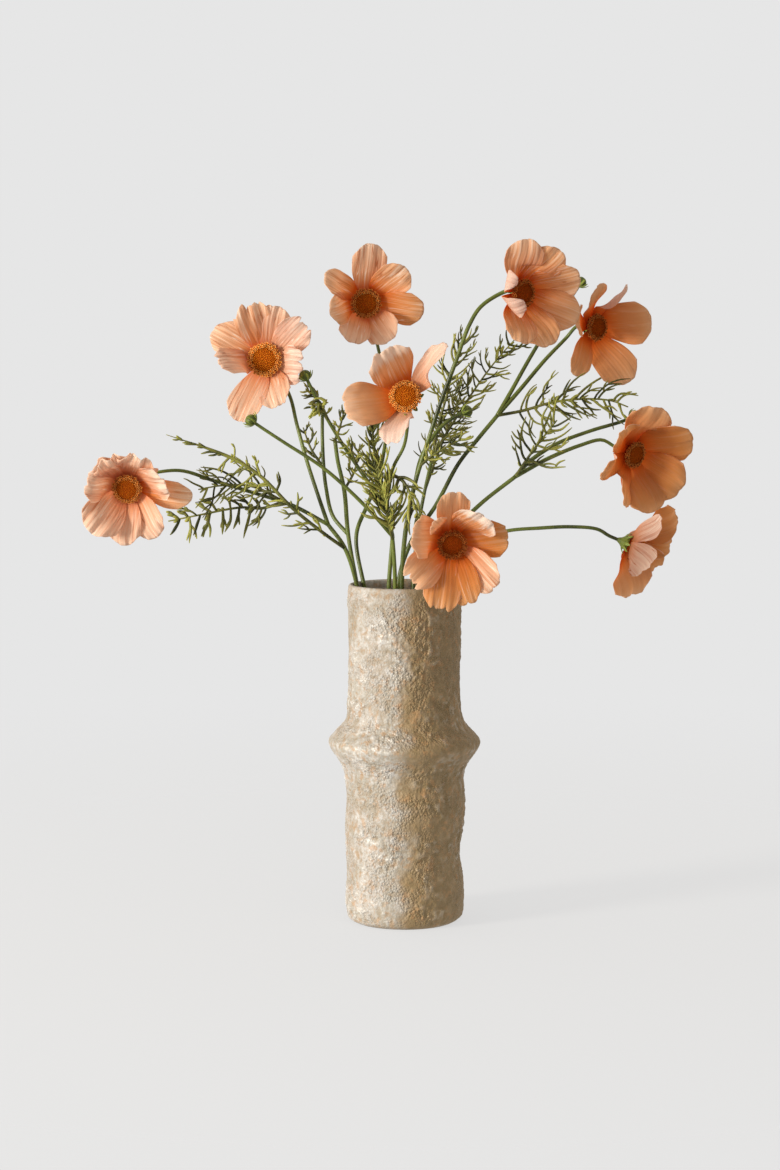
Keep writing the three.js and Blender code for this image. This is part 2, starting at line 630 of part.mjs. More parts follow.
const bouquet = new THREE.Group();
bouquet.add(named('vase', makeVase(), finish.stoneware));
bouquet.add(named('water', makeWater(stems.map(makeHole)), finish.water));
stems.forEach((stem, k) => bouquet.add(named(`stem_${stem.name}`, makeStem(stem, 10 * k), finish.green)));
blooms.forEach((bloom) => {
  const head = new THREE.Group();
  head.applyMatrix4(bloomFrame(bloom));
  head.add(named(`petals_${bloom.name}`, makePetals(bloom), finish.petal));
  head.add(named(`disc_${bloom.name}`, makeDisc(), finish.florets));
  bouquet.add(head);
});

export default bouquet;
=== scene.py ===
import functools
import itertools
import math
import bpy
import numpy as np
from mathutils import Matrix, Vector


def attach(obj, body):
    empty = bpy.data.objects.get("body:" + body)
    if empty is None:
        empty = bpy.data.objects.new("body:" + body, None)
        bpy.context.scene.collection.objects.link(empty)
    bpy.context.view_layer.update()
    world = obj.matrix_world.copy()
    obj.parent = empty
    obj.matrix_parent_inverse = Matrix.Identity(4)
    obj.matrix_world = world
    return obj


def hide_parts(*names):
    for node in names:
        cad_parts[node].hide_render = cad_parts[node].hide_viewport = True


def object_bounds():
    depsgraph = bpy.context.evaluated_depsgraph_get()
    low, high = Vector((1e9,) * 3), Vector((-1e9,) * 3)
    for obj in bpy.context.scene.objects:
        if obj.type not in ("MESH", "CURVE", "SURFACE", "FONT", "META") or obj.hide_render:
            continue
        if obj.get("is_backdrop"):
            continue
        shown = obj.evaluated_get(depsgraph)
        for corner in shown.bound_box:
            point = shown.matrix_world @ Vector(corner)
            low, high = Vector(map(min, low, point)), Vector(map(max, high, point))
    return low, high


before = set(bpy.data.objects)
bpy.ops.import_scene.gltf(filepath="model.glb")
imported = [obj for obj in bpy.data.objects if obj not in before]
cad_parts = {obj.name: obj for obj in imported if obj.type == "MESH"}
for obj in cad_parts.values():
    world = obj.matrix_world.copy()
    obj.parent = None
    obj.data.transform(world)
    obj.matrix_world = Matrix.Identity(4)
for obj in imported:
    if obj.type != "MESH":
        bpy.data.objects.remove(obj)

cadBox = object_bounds()
metres = 0.001
radians = math.radians


# Nodes and materials

# An sRGB hex colour turned to linear light: v / 12.92 low down, ((v + 0.055) / 1.055) ^ 2.4 above
def linear(code):
    levels = [int(code[k:k + 2], 16) / 255 for k in (1, 3, 5)]
    return [v / 12.92 if v <= 0.04045 else ((v + 0.055) / 1.055) ** 2.4 for v in levels] + [1.0]


# How many times a pattern of this size in millimetres repeats in a metre of Object coordinates
def perMetre(size):
    return 1000 / size


# Adds a node with its settings. An input is a number, a hex colour, the name of a value that the points
# hold, an output, or a node, which gives its first output in use. A ramp's stops run from 0 to 1.
def addNode(tree, kind, inputs=(), stops=(), **settings):
    node = tree.nodes.new("ShaderNode" + kind)
    for name, value in settings.items():
        setattr(node, name, value)
    for name, value in inputs.items() if isinstance(inputs, dict) else enumerate(inputs):
        if isinstance(value, str) and value[0] == "#":
            value = linear(value)
        elif isinstance(value, str):
            value = addNode(tree, "Attribute", attribute_name=value).outputs["Fac"]
        if isinstance(value, bpy.types.Node):
            value = next(output for output in value.outputs if output.enabled)
        if isinstance(value, bpy.types.NodeSocket):
            tree.links.new(value, node.inputs[name])
        else:
            node.inputs[name].default_value = value
    for place, code in stops:
        ramp = node.color_ramp.elements
        element = {0: ramp[0], 1: ramp[-1]}.get(place) or ramp.new(place)
        element.color = linear(code)
    return node


# A new material or world without nodes, and the function that adds one to it
def newShading(blocks, name):
    block = blocks.new(name)
    block.use_nodes = True
    block.node_tree.nodes.clear()
    return block, functools.partial(addNode, block.node_tree)


# A material whose shader is what a function of its add, its place and its looks returns
def newMaterial(name, surface, *looks):
    material, add = newShading(bpy.data.materials, name)
    add("OutputMaterial", {"Surface": surface(add, add("TexCoord").outputs["Object"], *looks)})
    return material


# The setting with which a Map Range node eases what it gives: 3w² − 2w³ of the way from low to high
smooth = {"interpolation_type": "SMOOTHSTEP"}


# Lays colours over one another. Each layer is a value, its low and high, the shares there and the
# colour. The share is eased between them, and multiplied by a mask where there is one.
def layered(add, colour, layers, mask=None):
    for value, low, high, start, end, over in layers:
        share = add("MapRange", [value, low, high, start, end], **smooth)
        if mask:
            share = add("Math", [mask, share], operation="MULTIPLY")
        colour = add("Mix", {0: share, 6: colour, 7: over}, data_type="RGBA")
    return colour


# Numbers and curves

# Vectors divided by their lengths
def unit(vectors):
    vectors = np.asarray(vectors, float)
    return vectors / np.maximum(np.linalg.norm(vectors, axis=-1, keepdims=True), 1e-12)


# The share of the way from low to high, eased at both ends: 3w² − 2w³
def smoothStep(x, low, high):
    w = np.clip((x - low) / (high - low), 0, 1)
    return w * w * (3 - 2 * w)


# Even angles once round
def around(sides):
    return 2 * np.pi * np.arange(sides) / sides


# Places from a radius, an angle and a height
def polar(radius, angle, height):
    return np.stack(np.broadcast_arrays(radius * np.cos(angle), radius * np.sin(angle), height), -1)


# Three axes along a way: the one square to it and to another way, the one square to both, and the way
def axesAlong(way, beside=(0, 0, 1)):
    out = unit(way)
    right = unit(np.cross(beside, out))
    return np.stack([right, np.cross(out, right), out])


# A repeatable random number between 0 and 1 at each whole-numbered place: its three numbers are
# multiplied by large odd numbers, added up and shuffled by shifts.
def lattice(cells, seed):
    x, y, z = (cells[..., k].astype(np.int64).astype(np.uint32) for k in range(3))
    mixed = x * np.uint32(374761393) + y * np.uint32(668265263) + z * np.uint32(1103515245)
    mixed = mixed + np.uint32(seed * 7919 + 17)
    mixed = (mixed ^ (mixed >> np.uint32(13))) * np.uint32(1274126177)
    return ((mixed ^ (mixed >> np.uint32(16))) & np.uint32(0xFFFF)) / 65535


# Value noise from 0 to 1: the lattice numbers at the eight corners of a cell, blended by 3w² − 2w³
def noise(points, size, seed):
    place = np.asarray(points, float) / size
    cell = np.floor(place)
    w = place - cell
    w = w * w * (3 - 2 * w)
    total = 0
    for corner in itertools.product((0, 1), repeat=3):
        share = np.prod(np.where(corner, w, 1 - w), axis=-1)
        total = total + share * lattice(cell + corner, seed)
    return total


# A smooth line through points: in each span a cubic curve that leaves and enters with slopes weighted
# by the square roots of the distances, the first and last span carried straight on
def smoothLine(points, steps):
    p = np.asarray(points, float)
    p = np.concatenate([[2 * p[0] - p[1]], p, [2 * p[-1] - p[-2]]])
    u = np.linspace(0, len(p) - 3, (len(p) - 3) * steps + 1)
    k = np.minimum(np.floor(u).astype(int), len(p) - 4)
    w = (u - k)[:, None]
    p0, p1, p2, p3 = (p[k + after] for after in range(4))
    d0, d1, d2 = (np.sqrt(np.linalg.norm(step, axis=1))[:, None] for step in (p1 - p0, p2 - p1, p3 - p2))
    m1 = d1 * ((p1 - p0) / d0 - (p2 - p0) / (d0 + d1) + (p2 - p1) / d1)
    m2 = d1 * ((p2 - p1) / d1 - (p3 - p1) / (d1 + d2) + (p3 - p2) / d2)
    return p1 + m1 * w + (3 * (p2 - p1) - 2 * m1 - m2) * w ** 2 + (2 * (p1 - p2) + m1 + m2) * w ** 3


# How far along a path each of its points is
def lengths(path):
    return np.concatenate([[0], np.cumsum(np.linalg.norm(np.diff(path, axis=0), axis=1))])


# The values of rows at places between them, column by column
def between(places, at, rows):
    return np.stack([np.interp(places, at, rows[:, k]) for k in range(rows.shape[1])], -1)


# The same line with its points at even distances
def evenly(path, count):
    along = lengths(path)
    return between(np.linspace(0, along[-1], count), along, path)


# Meshes

# Quads of a grid of rows by columns, numbered row by row; a grid that wraps joins its last column
# to its first. They face the way columns × rows points.
def gridFaces(rows, columns, wraps=False):
    i = np.arange(rows - 1)[:, None]
    j = np.arange(columns if wraps else columns - 1)[None, :]
    k = (j + 1) % columns
    corners = [i * columns + j, i * columns + k, (i + 1) * columns + k, (i + 1) * columns + j]
    return np.stack(corners, -1).reshape(-1, 4)


# Closed skins over a batch of grids of rows × sides that wrap round, each shut by a fan of triangles
# to a point at either end, which takes the mean of its row's values. Every part is made of points,
# quads and triangles, and values at its points.
def closedSkins(body, ends, values):
    count, rows, sides, _ = body.shape
    each, last = rows * sides + 2, (rows - 1) * sides
    j = np.arange(sides)
    k = (j + 1) % sides
    fans = np.concatenate([np.stack([k, j, np.full(sides, each - 2)], -1),
                           np.stack([last + j, last + k, np.full(sides, each - 1)], -1)])
    starts = (np.arange(count) * each)[:, None, None]
    spread = {}
    for name, value in values.items():
        value = np.broadcast_to(value, (count, rows, sides))
        spread[name] = np.concatenate([value.reshape(count, -1), value[:, [0, -1]].mean(2)], 1).ravel()
    return {"points": np.concatenate([body.reshape(count, -1, 3), ends], 1).reshape(-1, 3),
            "quads": (gridFaces(rows, sides, True) + starts).reshape(-1, 4),
            "triangles": (fans + starts).reshape(-1, 3), "values": spread}


# A surface turned about the local Z axis: each [radius, height] of a profile carried round, closed at
# the axis where it starts and ends. The radius is multiplied by grow, and the height has lift added.
def turned(profile, sides, grow=1.0, lift=0.0, values=None):
    profile = np.asarray(profile, float)
    body = polar(profile[1:-1, :1] * grow, around(sides), profile[1:-1, 1:] + lift)
    ends = [[[0, 0, profile[0, 1]], [0, 0, profile[-1, 1]]]]
    return closedSkins(body[None], ends, values or {})


# Tubes along a batch of paths, tubes × rings × 3, with a radius and values for each ring. The first
# ring's axis is carried along: at each ring it loses its share along the new direction. The radius
# grows by ridge · cos(4 angle), and across that axis it is multiplied by flat.
def tubes(paths, radii, sides, values, ridge=0.0, flat=1.0, first=(0.31, -0.87, 0.38)):
    along = unit(np.gradient(paths, axis=1))
    axis = np.broadcast_to(np.asarray(first, float), along[:, 0].shape)
    axes = []
    for way in np.moveaxis(along, 1, 0):
        axis = unit(axis - np.sum(axis * way, -1, keepdims=True) * way)
        axes.append(axis)
    a = np.stack(axes, 1)
    b = np.cross(along, a)
    turn = around(sides)[:, None]
    ring = a[:, :, None] * np.cos(turn) + b[:, :, None] * (flat * np.sin(turn))
    body = paths[:, :, None] + ring * radii[:, :, None, None] * (1 + ridge * np.cos(turn * 4))
    held = {name: value[..., None] for name, value in values.items()}
    return closedSkins(body, paths[:, [0, -1]], held)


# A thin closed shell: a sheet of rows × columns shifted half its thickness along its normal, the cross
# product of its two directions, to either side, and joined round its edge. under is 1 on the far side.
def shell(sheet, thickness, values):
    rows, columns, _ = sheet.shape
    count = rows * columns
    shift = unit(np.cross(np.gradient(sheet, axis=0), np.gradient(sheet, axis=1))) * thickness / 2
    number = np.arange(count).reshape(rows, columns)
    edge = np.concatenate([number[0, :-1], number[:-1, -1], number[-1, :0:-1], number[:0:-1, 0]])
    after = np.roll(edge, -1)
    rim = np.stack([edge, after, after + count, edge + count], -1)
    faces = gridFaces(rows, columns)
    both = {name: np.broadcast_to(value, (2, rows, columns)).ravel() for name, value in values.items()}
    return {"points": np.stack([sheet + shift, sheet - shift]).reshape(-1, 3),
            "quads": np.concatenate([faces[:, ::-1], faces + count, rim]),
            "triangles": np.zeros((0, 3), int), "values": {**both, "under": np.repeat([0.0, 1.0], count)}}


# One part of several, with the values that all of them have
def joined(parts):
    starts = np.cumsum([0] + [len(p["points"]) for p in parts])
    whole = {kind: np.concatenate([p[kind] + start for p, start in zip(parts, starts)])
             for kind in ("quads", "triangles")}
    whole["points"] = np.concatenate([p["points"] for p in parts])
    whole["values"] = {name: np.concatenate([p["values"][name] for p in parts])
                       for name in parts[0]["values"] if all(name in p["values"] for p in parts)}
    return whole


# Moves a part from a local frame of three axes to its place
def placed(one, axes, origin):
    return {**one, "points": one["points"] @ axes + np.asarray(origin)}


# A new object that holds this data, linked into the scene
def newObject(name, data):
    thing = bpy.data.objects.new(name, data)
    bpy.context.scene.collection.objects.link(thing)
    return thing


# Writes a part as a smooth mesh that rides on the one body, and stands for the named nodes. Returns
# how many triangles it has.
def makePiece(name, one, material, nodes=()):
    mesh = bpy.data.meshes.new(name)
    faces = one["quads"].tolist() + one["triangles"].tolist()
    mesh.from_pydata(one["points"] * metres, [], faces, shade_flat=False)
    for key, value in one["values"].items():
        mesh.attributes.new(key, "FLOAT", "POINT").data.foreach_set("value", value.astype(np.float32))
    mesh.materials.append(material)
    piece = newObject(name, mesh)
    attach(piece, "root")
    if nodes:
        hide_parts(*nodes)
    return len(one["quads"]) * 2 + len(one["triangles"])


# Camera and studio

studio = {
    "camera": (-11, -2100, 465), "tilt": 5.6, "lens": 85, "film": 36,
    # the floor is a fifth as pale as the paper, and its own light makes up for it and keeps shadows faint
    "paper": "#e6e6e6", "paperShare": 0.2, "paperGlow": 0.778,
    "grain": 3.0, "grainLight": 1.06, "floorRadius": 1500, "fadeFrom": 150, "fadeTo": 1300,
    "sky": "#fbf7f2", "skyStrength": 0.79, "belowShare": 0.3, "skyFrom": -0.4, "skyTo": 0.3,
    "lamp": "#fffaf0", "lampPlace": (-2700, -1600, 640), "lampAim": (0, 0, 300),
    "lampSize": 850, "lampPower": 143,
}

camera = newObject("camera", bpy.data.cameras.new("camera"))
camera.data.lens = studio["lens"]
camera.data.sensor_width = studio["film"]
camera.location = [v * metres for v in studio["camera"]]
camera.rotation_euler = (radians(90 - studio["tilt"]), 0, 0)
bpy.context.scene.camera = camera
bpy.context.scene.view_settings.view_transform = "Standard"


# Soft light from all round, weaker from below; what the camera sees behind it all is plain pale paper
def makeSky():
    world, add = newShading(bpy.data.worlds, "studioSky")
    upward = add("SeparateXYZ", [add("TexCoord").outputs["Generated"]]).outputs["Z"]
    above = studio["skyStrength"]
    below = studio["belowShare"] * above
    strength = add("MapRange", [upward, studio["skyFrom"], studio["skyTo"], below, above], **smooth)
    light = add("Background", {"Color": studio["sky"], "Strength": strength})
    paper = add("Background", {"Color": studio["paper"], "Strength": 1.0})
    seen = add("LightPath").outputs["Is Camera Ray"]
    add("OutputWorld", {"Surface": add("MixShader", [seen, light, paper])})
    bpy.context.scene.world = world


# A large soft lamp to the left and somewhat in front, a little higher than the blooms
def makeLamp():
    lamp = bpy.data.lights.new("key", "AREA")
    lamp.shape = "DISK"
    lamp.size = studio["lampSize"] * metres
    lamp.energy = studio["lampPower"]
    lamp.color = linear(studio["lamp"])[:3]
    place, aim = (np.array(studio[name]) * metres for name in ("lampPlace", "lampAim"))
    away = unit(place - aim)
    key = newObject("key", lamp)
    key.location = place
    key.rotation_euler = (math.acos(away[2]), 0, math.atan2(away[1], away[0]) + math.pi / 2)


# Seamless matt studio paper, which fades into the paper behind it long before its edge shows
def paper(add, place):
    reach = add("VectorMath", [place], operation="LENGTH").outputs["Value"]
    near, far = (studio[name] * metres for name in ("fadeFrom", "fadeTo"))
    solid = add("MapRange", [reach, near, far, 1, 0], **smooth)
    grain = add("TexNoise", {"Vector": place, "Scale": perMetre(studio["grain"])})
    level = np.array(linear(studio["paper"])) * studio["paperShare"]
    shade = add("Mix", {0: grain, 6: level, 7: level * studio["grainLight"]}, data_type="RGBA")
    return add("BsdfPrincipled", {
        "Base Color": shade, "Roughness": 1.0, "Specular IOR Level": 0.0, "Alpha": solid,
        "Emission Color": studio["paper"], "Emission Strength": studio["paperGlow"]})


# The floor, one flat square
def makeFloor():
    corners = np.array([[-1, -1, 0], [1, -1, 0], [1, 1, 0], [-1, 1, 0]]) * studio["floorRadius"] * metres
    mesh = bpy.data.meshes.new("floor")
    mesh.from_pydata(corners, [], [(0, 1, 2, 3)])
    mesh.materials.append(newMaterial("studioPaper", paper))
    newObject("floor", mesh)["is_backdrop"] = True


makeSky()
makeLamp()
makeFloor()
print("studio and camera ready")


# Vase

vase = {
    # the foot, the outer wall up to the rim, the lip, the inner wall and the floor as [radius, height]
    "foot": [[12, 0.6], [24, 0.6], [33, 0.5], [36.5, 0]],
    "outside": [[39, 0], [43.5, 3], [45.5, 14], [43.8, 53], [45.4, 77], [45.2, 100], [45.4, 113],
                [49, 123], [55.5, 132], [58.3, 139], [53.5, 146], [46, 155], [43.6, 170], [43, 257.5]],
    "lip": [[42.2, 259.6], [40.6, 260], [39.5, 258.5]],
    "inside": [[39, 250], [39, 130], [39.6, 20], [35, 9]],
    "floor": [20, 9],
    "sides": 340, "rows": 246, "insideRows": 16,
    # the slow swells of the thrown wall
    "waveHeight": 75, "waveDepth": 0.02, "plainAbove": 128, "plainOver": 30,
    "lean": 0.4, "leanHeight": 40, "footOver": 6,
    # the crust: its thick patches, worms, grains and lumps in mm, how far the worms bend and over what,
    # its depth, the heights over which it starts at the foot and thins at the rim, and the collar, which
    # is smoother
    "patch": 19, "worm": 3.6, "grains": (2.9, 2.1), "lumps": (13, 6), "bend": 2.2, "bendSize": 5,
    "crustDepth": 1.4, "lumpDepth": 0.45, "startsOver": (0.5, 5), "thinsOver": (254, 258),
    "collarHeight": 134, "collarReach": 10, "collarCalm": 0.7,
    "bead": 1.9, "pit": 1.1, "blister": 0.0016,
}


# The wall swells in and out by a share of its radius: cos(angle) · sin(2π height / 75) low down, and
# 0.4 · sin(2 angle + height / 40) all the way up, fading out at the foot.
def handThrown(angle, height):
    rise = np.clip((vase["plainAbove"] - height) / vase["plainOver"], 0, 1)
    foot = np.clip(height / vase["footOver"], 0, 1)
    swell = np.cos(angle) * np.sin(2 * np.pi * height / vase["waveHeight"])
    lean = vase["lean"] * np.sin(2 * angle + height / vase["leanHeight"])
    return 1 + vase["waveDepth"] * (rise * swell + lean) * foot


# The crust of the glaze, from about 0 to 1: worm-like ridges where one noise crosses its middle, and
# grains of a finer noise, both stronger where a slow noise says that the crust is thick
def crust(points):
    thick = 0.35 + 0.65 * smoothStep(noise(points, vase["patch"], 1), 0.3, 0.65)
    bent = points + vase["bend"] * np.stack([noise(points, vase["bendSize"], k) for k in (2, 3, 4)], -1)
    worms = np.clip(1 - np.abs(2 * noise(bent, vase["worm"], 5) - 1) * 1.8, 0, 1)
    coarse, fine = vase["grains"]
    grains = 0.6 * noise(bent, coarse, 6) + 0.4 * noise(points, fine, 7)
    return thick * (0.4 * worms + 0.6 * smoothStep(grains, 0.25, 0.8))


# The thrown wall, turned from its profile, with its crust raised along its normal
def makeVase(material):
    outer = evenly(smoothLine(vase["outside"] + vase["lip"] + vase["inside"][:1], 24), vase["rows"])
    inner = evenly(smoothLine(vase["inside"], 8), vase["insideRows"])[1:]
    profile = np.concatenate([vase["foot"], outer, inner, [vase["floor"]]])
    radius, height = profile[:, :1], profile[:, 1:]
    row = np.arange(len(profile))[:, None] - len(vase["foot"])
    inside = row >= len(outer)
    lipRadius = vase["lip"][1][0]
    outside = (row >= 0) * ~inside * smoothStep(radius, lipRadius - 0.5, lipRadius + 2)
    angle = around(vase["sides"])
    wall = polar(radius * (1 + (handThrown(angle, height) - 1) * outside), angle, height)
    wrapped = np.concatenate([wall[:, -1:], wall, wall[:, :1]], 1)
    normal = unit(np.cross(np.gradient(wrapped, axis=1)[:, 1:-1], np.gradient(wall, axis=0)))
    relief = crust(wall)
    wide, small = vase["lumps"]
    lumps = noise(wall, wide, 8) + 0.5 * noise(wall, small, 9) - 0.75
    rim = smoothStep(height, *vase["thinsOver"])
    rough = outside * smoothStep(height, *vase["startsOver"]) * (1 - 0.8 * rim)
    collar = np.exp(-((height - vase["collarHeight"]) / vase["collarReach"]) ** 2)
    rough = rough * (1 - vase["collarCalm"] * collar)
    depth = rough * (vase["crustDepth"] * (relief - 0.45) + vase["lumpDepth"] * lumps)
    wall = wall + normal * depth[..., None]
    ends = [[[0, 0, vase["foot"][0][1]], [0, 0, vase["floor"][1]]]]
    whole = closedSkins(wall[None], ends, {
        "relief": relief, "blistered": np.maximum(rough, 0.1), "inside": inside})
    return makePiece("vaseStoneware", whole, material, ["vase"])


# Stoneware under a volcanic crater glaze, brushed on thick and fired until it blistered: a matt sandy
# crust of grains and worm-like ridges, bone white on its crests, partly as a painted highlight, with
# rust and ochre stains where the stoneware's iron came through, painted brown shade in its pits and
# between its beads, and painted shade in warm brown on its side away from the lamp
def volcanicGlaze(add, place):
    # clouds of a size in millimetres, each set moved off the others
    def cloud(size, detail=2.0, shift=0.0):
        moved = add("Mapping", {"Vector": place, "Location": (shift, shift, shift)})
        return add("TexNoise", {"Vector": moved, "Scale": perMetre(size), "Detail": detail})

    # painted shade: towards +X, the side away from the lamp, the body turns a warm brown, along an edge
    # that a cloud makes wander
    side = add("SeparateXYZ", [place]).outputs["X"]
    wander = add("Math", [cloud(24, 3), 0.05, side], operation="MULTIPLY_ADD")
    clay = layered(add, "#806b47", [(cloud(6, 3, 0.2), 0.4, 0.65, 0, 1, "#917a57")])
    # beads and pits of the blistered skin; the beads also set where painted shade darkens the gaps
    # between them
    bead = add("TexVoronoi", {"Vector": place, "Scale": perMetre(vase["bead"])})
    pit = add("TexVoronoi", {"Vector": place, "Scale": perMetre(vase["pit"])}, feature="SMOOTH_F1")
    body = layered(add, "#9f998e", [
        (cloud(22), 0.4, 0.62, 0, 1, "#a9a39b"),
        (cloud(9, 3, 0.31), 0.5, 0.7, 0, 0.5, "#c0bebb"),
        # crests paled: partly the glaze's own bone white, partly a painted highlight
        ("relief", 0.45, 0.9, 0, 0.4, "#d2d0cc"),
        # painted shade on the side away from the lamp
        (wander, 0.013, 0.034, 0, 1, clay),
        (cloud(6, 3, 0.57), 0.54, 0.68, 0, 0.5, "#a97e50"),
        (cloud(2.6, 2, 0.83), 0.56, 0.7, 0, 0.4, "#a0754a"),
        # painted shade in the crust's pits, then its crests paled again, partly a painted highlight
        ("relief", 0.02, 0.3, 0.45, 0, "#7f6948"),
        ("relief", 0.5, 0.95, 0, 0.22, "#cdc3b1"),
        # painted shade in the gaps between the beads
        (bead, 0.45, 0.8, 0, 0.34, "#8a7557"),
        ("inside", 0.2, 0.8, 0, 0.8, "#a58a64")])
    height = add("Math", [pit, 0.35, bead], operation="MULTIPLY_ADD")
    patchy = add("MapRange", [cloud(16, 2, 0.44), 0.4, 0.56, 0.25, 0.8], **smooth)
    share = add("Math", [patchy, "blistered"], operation="MULTIPLY")
    skin = add("Bump", {"Height": height, "Strength": share, "Distance": vase["blister"]}, invert=True)
    return add("BsdfPrincipled", {
        "Base Color": body, "IOR": 1.5, "Specular IOR Level": 0.5, "Normal": skin,
        "Roughness": add("MapRange", ["relief", 0.3, 0.8, 0.65, 0.36], **smooth)})


print("vase", makeVase(newMaterial("stonewareVolcanicGlaze", volcanicGlaze)))


# Stems: mouth is where a stalk crosses the mouth of the vase, rises is its way up from there, and end
# its bloom. A branch is its way, from a point of the stem's, and its end: a bloom, the place of a bud,
# or neither. A frond, a feathered leaf, is its rib, how many leaflets it has, how far they reach, and
# what it has of its own.
stems = {
    "left": {
        "mouth": (-34.4, -9), "rises": [(-45, -12, 288), (-58, -8, 306)],
        "branches": [
            ([(-58, -8, 306), (-85, -2, 320), (-116, 0, 330), (-145, -2, 339), (-172, -5, 347)], "left"),
            ([(-58, -8, 306), (-67, -4, 332), (-75, 4, 356), (-82, 10, 381), (-88, 14, 404)],
             "upper_left")],
        "fronds": [
            ([(-45, -12, 288), (-62, -20, 301), (-84, -22, 319), (-108, -20, 343), (-126, -20, 355),
              (-147, -22, 364), (-179, -26, 375)], 13, 17,
             {"droop": 0.4, "away": (32, 86), "bend": 18, "close": 0.74, "tail": 1, "wide": 1.15,
              "hang": 1}),
            ([(-92, -2, 323), (-115, -10, 335), (-138, -14, 336), (-156, -14, 333)], 8, 24,
             {"away": (62, 48), "bend": 24}),
            ([(-92, -2, 323), (-109, 12, 317), (-126, 20, 317), (-157, 26, 311), (-182, 26, 306)], 10, 15,
             {"droop": 0.3, "away": (66, 74), "bend": 26, "blade": 0.6, "wide": 1.1})]},
    "leafy": {
        "mouth": (-35, 7), "rises": [(-43, 9, 297), (-46, 10, 331), (-51, 10, 354), (-53, 10, 369)],
        "branches": [
            ([(-43, 9, 297), (-55, 16, 311), (-60, 22, 331), (-62, 26, 347), (-63, 27, 369),
              (-63, 27, 392)], None)],
        "fronds": [
            ([(-46, 10, 331), (-38, 16, 346), (-34, 20, 366)], 4, 11),
            ([(-53, 10, 369), (-49, 12, 380), (-46, 14, 392)], 4, 9),
            ([(-62, 26, 347), (-72, 30, 362), (-78, 32, 378)], 4, 11),
            ([(-63, 27, 392), (-68, 26, 402), (-76, 26, 408)], 5, 9, {"droop": 0.3})]},
    "top": {
        "mouth": (-30, 19), "end": "top",
        "rises": [(-37, 27, 295), (-29, 32, 317), (-21, 38, 336), (-14, 46, 372), (-15, 54, 410),
                  (-22, 60, 446)],
        "fronds": [
            ([(-18, 41, 350), (-24, 32, 366), (-22, 30, 386), (-14, 32, 398)], 5, 15,
             {"away": (45, 30), "bend": 20, "sets": 6, "wide": 1.1})]},
    "middle": {
        "mouth": (-7, -26), "end": "middle",
        "rises": [(-9, -31, 296), (-13, -36, 326), (-9, -40, 350), (0, -41, 369)],
        "fronds": [
            ([(-9, -31, 296), (-13, -42, 315), (-17, -48, 336), (-24, -50, 355)], 10, 24,
             {"away": (52, 28), "bend": 24, "sets": 6, "wide": 1.1}),
            ([(-10, -39, 346), (-1, -50, 341), (7, -56, 325), (11, -58, 311)], 5, 16,
             {"droop": 0.2, "wide": 1.45, "bend": 66})]},
    "buds": {
        "mouth": (-12, -6), "rises": [(-9, -8, 297)],
        "branches": [
            ([(-9, -8, 297), (-28, -17, 319), (-60, -24, 349), (-90, -28, 369), (-108, -30, 381)],
             (-115, -31, 386)),
            ([(-9, -8, 297), (-14, -6, 318), (-26, -8, 336), (-48, -12, 369), (-62, -13, 393),
              (-71, -15, 411)], (-75, -16, 419))],
        "fronds": [
            ([(-58, -13, 386), (-64, -18, 398), (-70, -20, 394)], 4, 10, {"droop": 0.3, "blade": 0.6}),
            ([(-36, -10, 351), (-41, -15, 362), (-50, -18, 372)], 4, 9)]},
    "top_right": {
        "mouth": (-2, 13), "end": "top_right",
        "rises": [(1, 11, 300), (8, 7, 336), (17, 3, 366), (28, -1, 400), (39, -4, 430), (49, -4, 457),
                  (58, -3, 471)],
        "branches": [
            ([(8, 7, 336), (13, 12, 356), (27, 16, 378), (39, 17, 387)], (48, 17, 391))],
        "fronds": [
            ([(12, 5, 350), (21, -3, 358), (34, -6, 366), (44, -7, 371)], 5, 14,
             {"wide": 1.2, "sets": 3})]},
    "back_right": {
        "mouth": (-5, 31),
        "rises": [(5, 31, 289), (24, 33, 317), (42, 35, 350), (57, 37, 369), (72, 39, 387)],
        "branches": [
            ([(72, 39, 387), (90, 46, 407), (110, 56, 430), (126, 64, 446)], "back_right"),
            ([(72, 39, 387), (82, 44, 404), (102, 58, 438), (122, 76, 467), (134, 84, 482)],
             (139, 86, 490))],
        "fronds": [
            ([(72, 39, 387), (92, 34, 391), (112, 28, 397), (134, 26, 400), (158, 26, 399),
              (172, 26, 394)], 12, 24, {"wide": 1.15})]},
    "right": {
        "mouth": (12, -12), "rises": [(28, -15, 291), (56, -17, 321), (84, -14, 343)],
        "branches": [
            ([(84, -14, 343), (108, -11, 356), (133, -6, 366), (150, -3, 370)], "right"),
            ([(84, -14, 343), (94, -4, 353), (115, 8, 366), (143, 20, 376), (168, 28, 383)],
             (177, 29, 387))],
        "fronds": [
            ([(84, -14, 343), (93, -24, 358), (103, -28, 372), (114, -30, 386)], 7, 24, {"wide": 1.1})]},
    "low_right": {
        "mouth": (26, 3), "end": "low_right",
        "rises": [(40, 3, 284), (58, 1, 295), (80, -2, 301), (103, -4, 303), (126, -4, 304),
                  (147, -2, 302)]},
    "front": {"mouth": (16, -30), "end": "front", "rises": [(20, -42, 280), (27, -56, 293)]},
    "feathery": {
        "mouth": (7, 22), "rises": [(10, 26, 296), (16, 30, 330), (22, 34, 356)],
        "fronds": [
            ([(22, 34, 356), (27, 30, 382), (33, 28, 404), (39, 28, 428), (46, 28, 449)], 9, 21,
             {"sets": 3}),
            ([(22, 34, 356), (36, 46, 378), (52, 60, 402), (70, 74, 426), (88, 84, 446)], 13, 20),
            ([(16, 30, 330), (26, 50, 356), (38, 72, 384), (48, 90, 412)], 8, 20, {"sets": 3})]},
}
